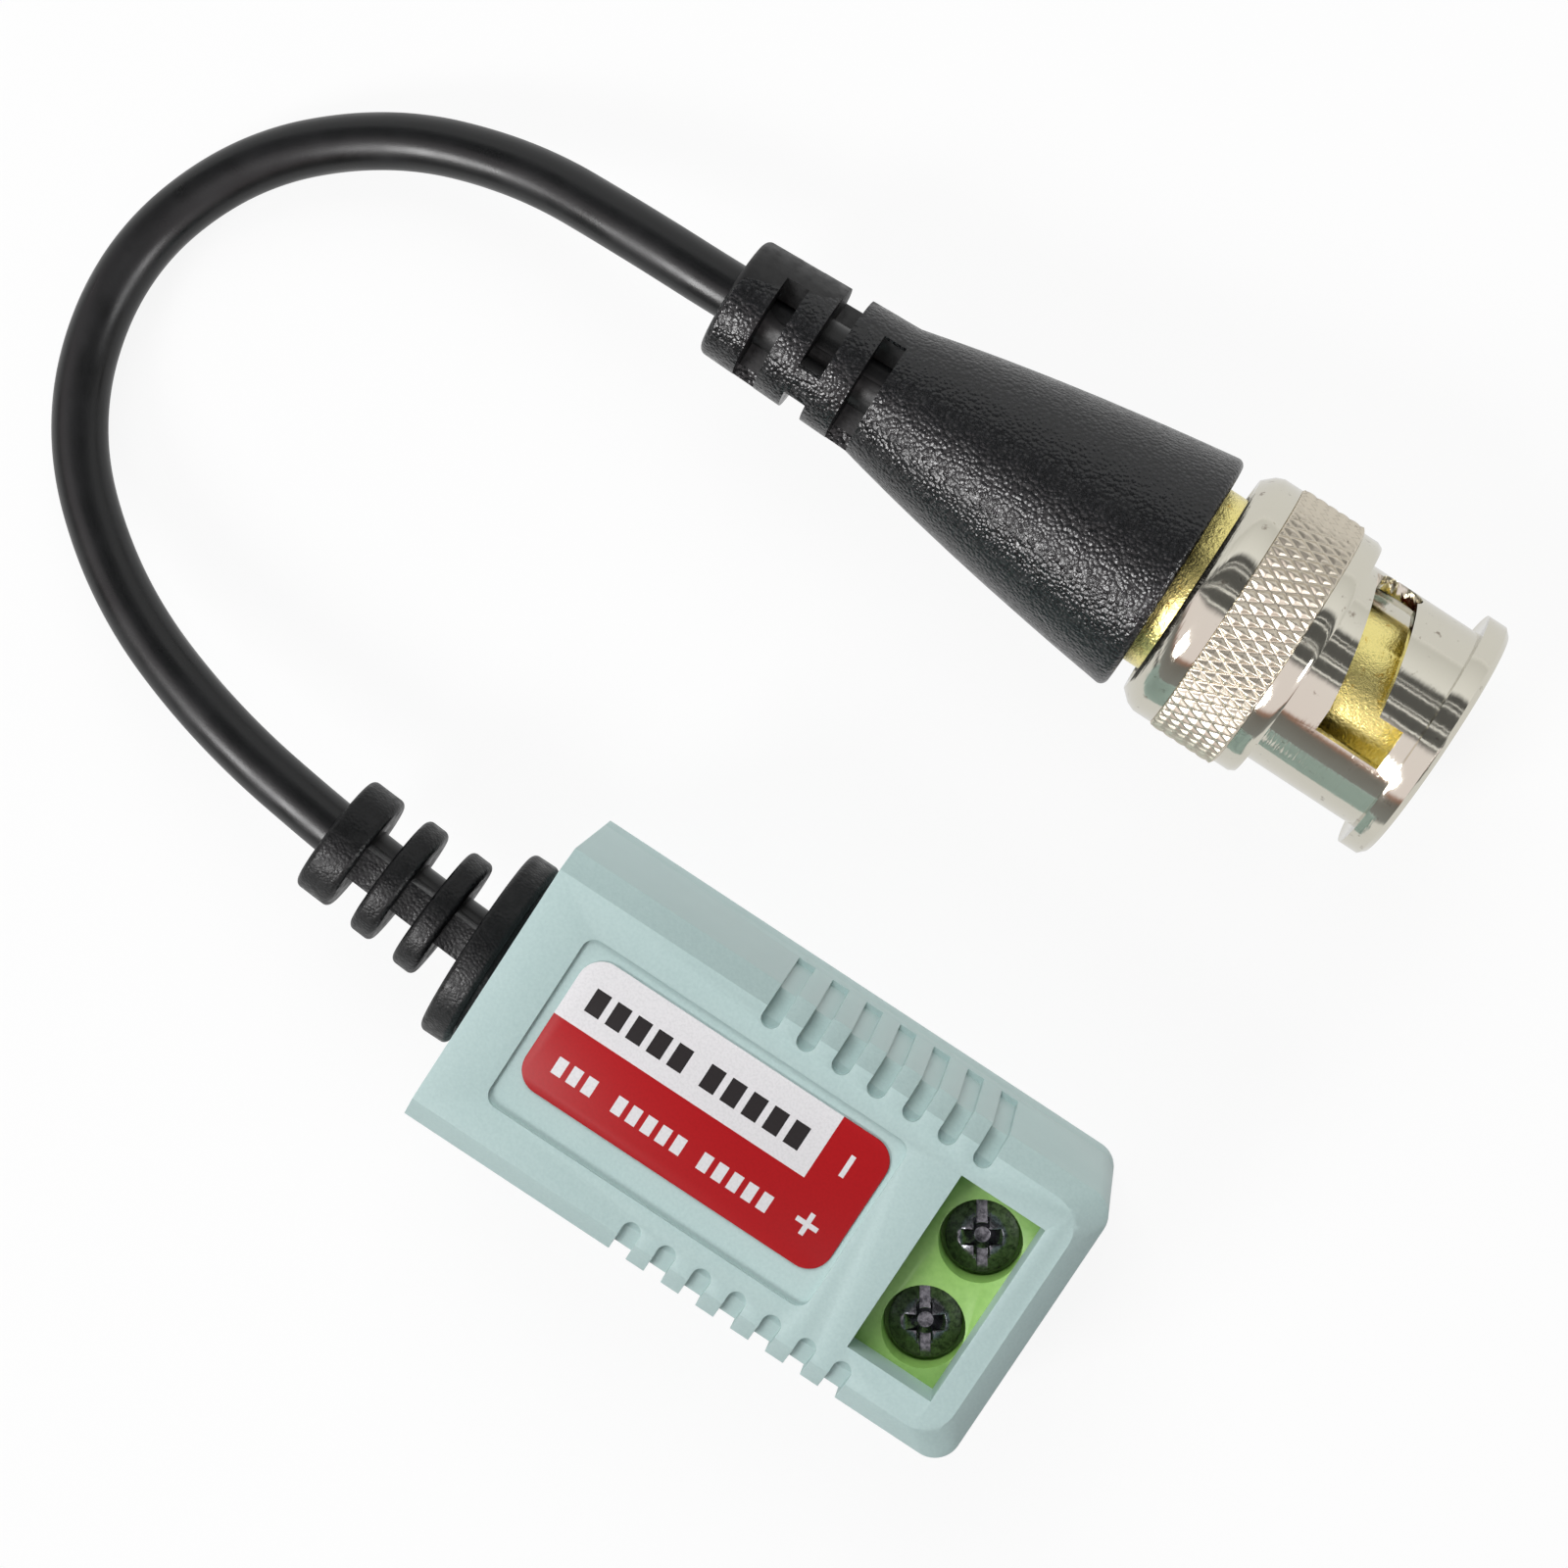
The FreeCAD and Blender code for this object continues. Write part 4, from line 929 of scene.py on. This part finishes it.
@dataclass
class Electronics(Assembly):
    """Board and what it carries, sealed in the housing."""

    def build(self) -> None:
        """Gives each node its finish; their shapes stay as they are."""
        finishes = {
            "circuit_board": "solder_mask_on_laminate",
            "ferrite_core": "sintered_ferrite",
            "primary_winding": "enamelled_copper_wire",
            "secondary_winding": "enamelled_copper_wire",
            "surge_diodes": "epoxy_chip_body",
            "chip_capacitors": "sintered_ceramic_chip",
            "chip_resistors": "epoxy_chip_body",
            "coax_core": "cellular_dielectric",
            "braid_tail": "tinned_brass_clamp",
        }
        for node, finish in finishes.items():
            self.dress_node(node, finish)


@dataclass
class Plug(Assembly):
    """Moulded bayonet plug: overmould, body, coupling sleeve with its knurl, contacts."""

    front_mm: float = 16.72
    knurl_mm: tuple[float, float] = (8.73, 12.43)  # behind the front
    crown_mm: float = 7.0
    crown_slack_mm: float = 0.03
    groove_mm: float = 6.45
    knurl_depth_mm: float = 0.19
    knurl_cells: int = 62
    knurl_rows: float = 2.9
    cell_steps: int = 12
    row_steps: int = 20
    fade: float = 0.03  # share of the knurl's width that fades at each end
    lap_mm: float = 0.01

    def build(self) -> None:
        """Every piece of the plug."""
        self.soft_copy("plug_overmould", "grained_pvc_overmould", 0.26, Body.BALUN, 3)
        self.sleeve()
        self.knurl()
        for node, edge_mm in (("plug_body", 0.08), ("outer_contact", 0.05), ("centre_pin", 0.04)):
            item = self.soft_copy(node, "gold_on_turned_brass", edge_mm, Body.BALUN)
            true_round(item)
        self.dress_node("retaining_ring", "nickel_on_turned_brass")
        self.dress_node("thrust_washer", "nickel_on_turned_brass")
        self.dress_node("spring_washer", "spring_bronze")
        self.dress_node("face_gasket", "silicone_gasket")
        self.dress_node("plug_insulator", "cellular_dielectric")
        self.dress_node("plug_core", "cellular_dielectric")

    def sleeve(self) -> None:
        """Coupling sleeve with a groove under the knurl, where its own ring lies."""
        item = merged_copy("coupling_sleeve", "coupling_sleeve_finished")
        count = len(item.data.vertices)
        spots = np.empty(count * 3, dtype=np.float32)
        item.data.vertices.foreach_get("co", spots)
        spots = spots.reshape(-1, 3)
        axis = np.array(PLUG_AXIS_MM) * MM
        offset = spots[:, 1:] - axis
        reach = np.linalg.norm(offset, axis=1)
        crown = reach > (self.crown_mm - self.crown_slack_mm) * MM
        spots[crown, 1:] = axis + offset[crown] * (self.groove_mm * MM / reach[crown])[:, None]
        item.data.vertices.foreach_set("co", spots.reshape(-1))
        item.data.update()
        soften(item, 0.07, 2)
        true_round(item)
        self.place(item, "nickel_on_turned_brass", Body.COUPLING, "coupling_sleeve")

    def knurl(self) -> None:
        """Diamond knurl rolled into the sleeve's rim.

        Two triangle waves, one for each family of grooves, cross at cells round the rim plus and minus
        rows along it. The lower of the two, through a sine, is a bead with a rounded top and sharp
        grooves. The last stretch at both ends fades to the valley. The ring closes inside on a plain
        cylinder.
        """
        around = np.linspace(0.0, 1.0, self.knurl_cells * self.cell_steps, endpoint=False)
        along = np.linspace(0.0, 1.0, int(self.knurl_rows * self.row_steps) + 1)
        turn, run = np.meshgrid(around, along, indexing="ij")

        def wave(phase: np.ndarray) -> np.ndarray:
            """Triangle wave from 0 in a groove to 1 on a crest."""
            return 1.0 - np.abs(2.0 * (phase - np.floor(phase)) - 1.0)

        left = wave(turn * self.knurl_cells + run * self.knurl_rows)
        right = wave(turn * self.knurl_cells - run * self.knurl_rows)
        crest = np.sin(math.pi / 2 * np.minimum(left, right))
        ends = np.clip(np.minimum(run, 1.0 - run) / self.fade, 0.0, 1.0)
        radius = self.crown_mm - self.lap_mm - self.knurl_depth_mm * (1.0 - crest * ends)
        front, rear = (self.front_mm - place for place in self.knurl_mm)
        x = front - self.lap_mm + (rear - front + 2 * self.lap_mm) * run
        inner = np.full((len(around), 1), self.groove_mm + self.lap_mm)
        radius = np.hstack([inner, radius, inner])
        x = np.hstack([x[:, :1], x, x[:, -1:]])
        angle = 2 * math.pi * np.hstack([turn[:, :1], turn, turn[:, -1:]])
        y, z = PLUG_AXIS_MM
        points = np.stack([x, y + radius * np.sin(angle), z + radius * np.cos(angle)], axis=-1)
        item = mesh_from_grid("sleeve_knurl", points * MM, True, True)
        outward(item)
        self.place(item, "nickel_on_rolled_knurl", Body.COUPLING)


@dataclass
class Pigtail(Assembly):
    """Coaxial pigtail from the housing to the plug, and its strain relief."""

    diameter_mm: float = 2.95
    length_mm: float = 94.7
    exit_mm: tuple[float, float, float] = (-27.14, 0.775, 6.8)
    route_mm: tuple[tuple[float, float, float], ...] = (  # as in the part's source
        (-13.05, 0.12, 6.8),
        (-17.53, 0.12, 6.8),
        (-26.33, 0.72, 6.8),
        (-35.5, 1.8, 5.9),
        (-43.9, 4.5, 4.0),
        (-50.7, 10.1, 2.2),
        (-53.0, 18.4, 1.5),
        (-50.4, 26.3, 1.5),
        (-44.5, 31.7, 2.2),
        (-37.5, 34.2, 4.0),
        (-30.7, 34.6, 6.0),
        (-24.1, 34.72, 7.0),
        (-15.5, 35.1, 7.0),
    )
    plug_pieces: tuple[str, ...] = (
        "plug_overmould_finished",
        "coupling_sleeve_finished",
        "sleeve_knurl",
        "plug_body_finished",
        "outer_contact_finished",
        "centre_pin_finished",
    )
    plug_nodes: tuple[str, ...] = (
        "retaining_ring",
        "thrust_washer",
        "spring_washer",
        "face_gasket",
        "plug_insulator",
        "plug_core",
    )

    def build(self) -> None:
        """Cable as one NURBS curve of order 3, and the relief with rounded edges."""
        relief = self.soft_copy("strain_relief", "fine_grained_pvc_relief", 0.12, Body.BALUN, 2)
        points = np.array(self.route_mm) * MM
        curve = bpy.data.curves.new("pigtail_cable", "CURVE")
        curve.dimensions = "3D"
        curve.resolution_u = 24
        curve.bevel_depth = self.diameter_mm / 2 * MM
        curve.bevel_resolution = 10
        spline = curve.splines.new("NURBS")
        spline.points.add(len(points) - 1)
        spline.points.foreach_set("co", np.hstack([points, np.ones((len(points), 1))]).reshape(-1))
        spline.order_u = 3
        spline.use_endpoint_u = True
        item = bpy.data.objects.new("pigtail_cable", curve)
        bpy.context.scene.collection.objects.link(item)
        self.place(item, "extruded_pvc_jacket", Body.BALUN, "cable")


@dataclass(frozen=True)
class Lamp:
    """Square area lamp that points at the object, in metres and watts."""

    name: str
    place: tuple[float, float, float]
    size: float
    power: float
    lights: bool
    shines: bool


@dataclass
class Studio:
    """White table, soft lights and the camera that matches the photograph's framing."""

    tilt: tuple[float, float] = (0.026, 0.131)
    roll: float = 0.584
    target_mm: tuple[float, float, float] = (-9.278, 15.472, 6.848)
    distance_mm: float = 225.09
    focal_px: float = 4558.86
    frame_px: int = 1600
    fill: float = 0.25
    room: tuple[tuple[float, tuple[float, float, float]], ...] = (
        (-95.0, (1.0, 1.0, 1.0)),
        (-85.0, (0.70, 0.70, 0.69)),
        (-50.0, (0.93, 0.93, 0.93)),
        (-45.0, (0.11, 0.11, 0.11)),
        (3.0, (0.11, 0.11, 0.11)),
        (9.0, (0.92, 0.86, 0.88)),
        (54.0, (0.92, 0.84, 0.86)),
        (58.0, (0.36, 0.20, 0.15)),
        (63.0, (0.19, 0.18, 0.17)),
        (86.0, (0.26, 0.27, 0.27)),
        (95.0, (1.0, 1.0, 1.0)),
    )
    strips: float = 16.0
    strip_edge: float = 0.57
    strip_middle: float = -0.36
    strip_half: float = 0.40
    table_half: float = 0.9
    paper: float = 0.82
    paper_in_metal: float = 0.80
    paper_glow: float = 0.9
    lamps: tuple[Lamp, ...] = (
        Lamp("key", (-0.25, -0.50, 0.50), 0.26, 3.2, True, True),
        Lamp("sheen", (-0.25, -0.50, 0.50), 0.26, 1.9, False, True),
        Lamp("kicker", (0.60, -0.04, 0.50), 0.22, 2.0, False, True),
        Lamp("fill", (-0.35, 0.50, 0.55), 0.60, 4.8, True, False),
    )

    def build(self) -> None:
        """Everything round the object."""
        self.camera()
        self.world()
        self.floor()
        self.light()
        bpy.context.scene.view_settings.view_transform = "Standard"

    def camera(self) -> None:
        """Camera at the photograph's viewing angle."""
        away = Vector((math.tan(self.tilt[0]), math.tan(self.tilt[1]), 1.0)).normalized()
        right = Vector((math.cos(self.roll), math.sin(self.roll), 0.0))
        right = (right - away * right.dot(away)).normalized()
        up = away.cross(right)
        place = (Vector(self.target_mm) + away * self.distance_mm) * MM
        data = bpy.data.cameras.new("camera")
        data.sensor_width = 36.0
        data.lens = self.focal_px / self.frame_px * data.sensor_width
        data.clip_start = 0.01
        data.clip_end = 10.0
        item = bpy.data.objects.new("camera", data)
        item.matrix_world = Matrix.Translation(place) @ Matrix((right, up, away)).transposed().to_4x4()
        bpy.context.scene.collection.objects.link(item)
        bpy.context.scene.camera = item

    def seen(self, tree: Tree) -> Socket:
        """1 for camera, glossy and transmission rays.

        Args:
            tree: node tree that takes the nodes.

        Returns:
            The socket with the 1 or 0.
        """
        path = add(tree, "ShaderNodeLightPath")
        seen = path.outputs["Is Camera Ray"]
        for name in ("Is Glossy Ray", "Is Transmission Ray"):
            more = add(tree, "ShaderNodeMath", {"operation": "MAXIMUM"}, {0: seen, 1: path.outputs[name]})
            seen = more.outputs["Value"]
        return seen

    def world(self) -> None:
        """White where the camera looks and a weak even fill for light; reflections see a room.

        The room is banded by the angle from straight up, turned about the X axis: a pale wall behind
        the plug, the dark camera and stand overhead with thin strip lamps, a bright diffuser on the
        terminal's side, and the dark foot of that wall. Polished metal needs this to read as metal.
        """
        world = bpy.data.worlds.new("studio")
        world.use_nodes = True
        tree = world.node_tree
        tree.nodes.clear()
        path = add(tree, "ShaderNodeLightPath")
        way = add(tree, "ShaderNodeTexCoord")
        split = add(tree, "ShaderNodeSeparateXYZ", links={"Vector": way.outputs["Generated"]})
        side = add(tree, "ShaderNodeMath", {"operation": "MULTIPLY", 1: -1.0}, {0: split.outputs["Y"]})
        angle = add(
            tree, "ShaderNodeMath", {"operation": "ARCTAN2"}, {0: side.outputs["Value"], 1: split.outputs["Z"]}
        )
        turn = add(
            tree,
            "ShaderNodeMapRange",
            {"From Min": -math.pi, "From Max": math.pi, "To Min": 0.0, "To Max": 1.0},
            {"Value": angle.outputs["Value"]},
        )
        room = ramp(
            add(tree, "ShaderNodeValToRGB", links={"Fac": turn.outputs["Result"]}),
            [(0.5 + degrees / 360.0, (*colour, 1.0)) for degrees, colour in self.room],
        )
        slats = add(
            tree,
            "ShaderNodeTexNoise",
            {"noise_dimensions": "1D", "Scale": self.strips, "Detail": 1.0},
            {"W": angle.outputs["Value"]},
        )
        lit = add(
            tree, "ShaderNodeMath", {"operation": "GREATER_THAN", 1: self.strip_edge}, {0: slats.outputs["Fac"]}
        )
        near = add(
            tree,
            "ShaderNodeMath",
            {"operation": "COMPARE", 1: self.strip_middle, 2: self.strip_half},
            {0: angle.outputs["Value"]},
        )
        lamp = add(
            tree,
            "ShaderNodeMath",
            {"operation": "MULTIPLY"},
            {0: lit.outputs["Value"], 1: near.outputs["Value"]},
        )
        white = grey(1.0)
        shine = add(
            tree,
            "ShaderNodeMix",
            {"data_type": "RGBA", 7: white},
            {"Factor": lamp.outputs["Value"], 6: room.outputs["Color"]},
        )
        mirror = add(
            tree,
            "ShaderNodeMix",
            {"data_type": "RGBA", 6: grey(self.fill)},
            {"Factor": path.outputs["Is Glossy Ray"], 7: shine.outputs[2]},
        )
        view = add(
            tree,
            "ShaderNodeMix",
            {"data_type": "RGBA", 7: white},
            {"Factor": path.outputs["Is Camera Ray"], 6: mirror.outputs[2]},
        )
        sky = add(tree, "ShaderNodeBackground", links={"Color": view.outputs[2]})
        add(tree, "ShaderNodeOutputWorld", links={"Surface": sky.outputs["Background"]})
        bpy.context.scene.world = world

    def floor(self) -> None:
        """Large pale table; the camera sees it nearly white, with the object's soft shadow."""
        half = self.table_half
        corners = np.array([[(x, y, 0.0) for y in (-half, half)] for x in (-half, half)])
        item = mesh_from_grid("table", corners, False, False)
        outward(item)
        material = bpy.data.materials.new("white_paper")
        material.use_nodes = True
        tree = material.node_tree
        tree.nodes.clear()
        paper = add(tree, "ShaderNodeBsdfDiffuse", {"Color": grey(self.paper)})
        path = add(tree, "ShaderNodeLightPath")
        level = add(
            tree,
            "ShaderNodeMapRange",
            {"To Min": 1.0, "To Max": self.paper_in_metal},
            {"Value": path.outputs["Is Glossy Ray"]},
        )
        glow = add(tree, "ShaderNodeEmission", {"Color": grey(1.0)}, {"Strength": level.outputs["Result"]})
        share = add(tree, "ShaderNodeMath", {"operation": "MULTIPLY", 1: self.paper_glow}, {0: self.seen(tree)})
        both = add(
            tree,
            "ShaderNodeMixShader",
            links={0: share.outputs["Value"], 1: paper.outputs["BSDF"], 2: glow.outputs["Emission"]},
        )
        add(tree, "ShaderNodeOutputMaterial", links={"Surface": both.outputs["Shader"]})
        item.data.materials.append(material)

    def light(self) -> None:
        """A key from the front left, a small kicker past the plug, and a fill from behind.

        Sheen is more of the key in gloss and metal only, as the kicker is; the fill doesn't show there.
        """
        aim = Vector(self.target_mm) * MM
        for lamp in self.lamps:
            data = bpy.data.lights.new(lamp.name, "AREA")
            data.shape = "SQUARE"
            data.size = lamp.size
            data.energy = lamp.power
            item = bpy.data.objects.new(lamp.name, data)
            item.location = lamp.place
            item.rotation_mode = "QUATERNION"
            item.rotation_quaternion = (aim - Vector(lamp.place)).to_track_quat("-Z", "Y")
            item.visible_diffuse = lamp.lights
            item.visible_glossy = lamp.shines
            bpy.context.scene.collection.objects.link(item)


def main() -> None:
    """Builds the finishes, the sub-assemblies and the studio, in that order."""
    logging.basicConfig(level=logging.INFO, format="%(message)s")
    finishes = {finish.name: finish.material() for finish in FINISHES}
    for assembly in (Housing, Terminal, Electronics, Plug, Pigtail):
        assembly(finishes).build()
    Studio().build()


if __name__ == "__main__":
    main()
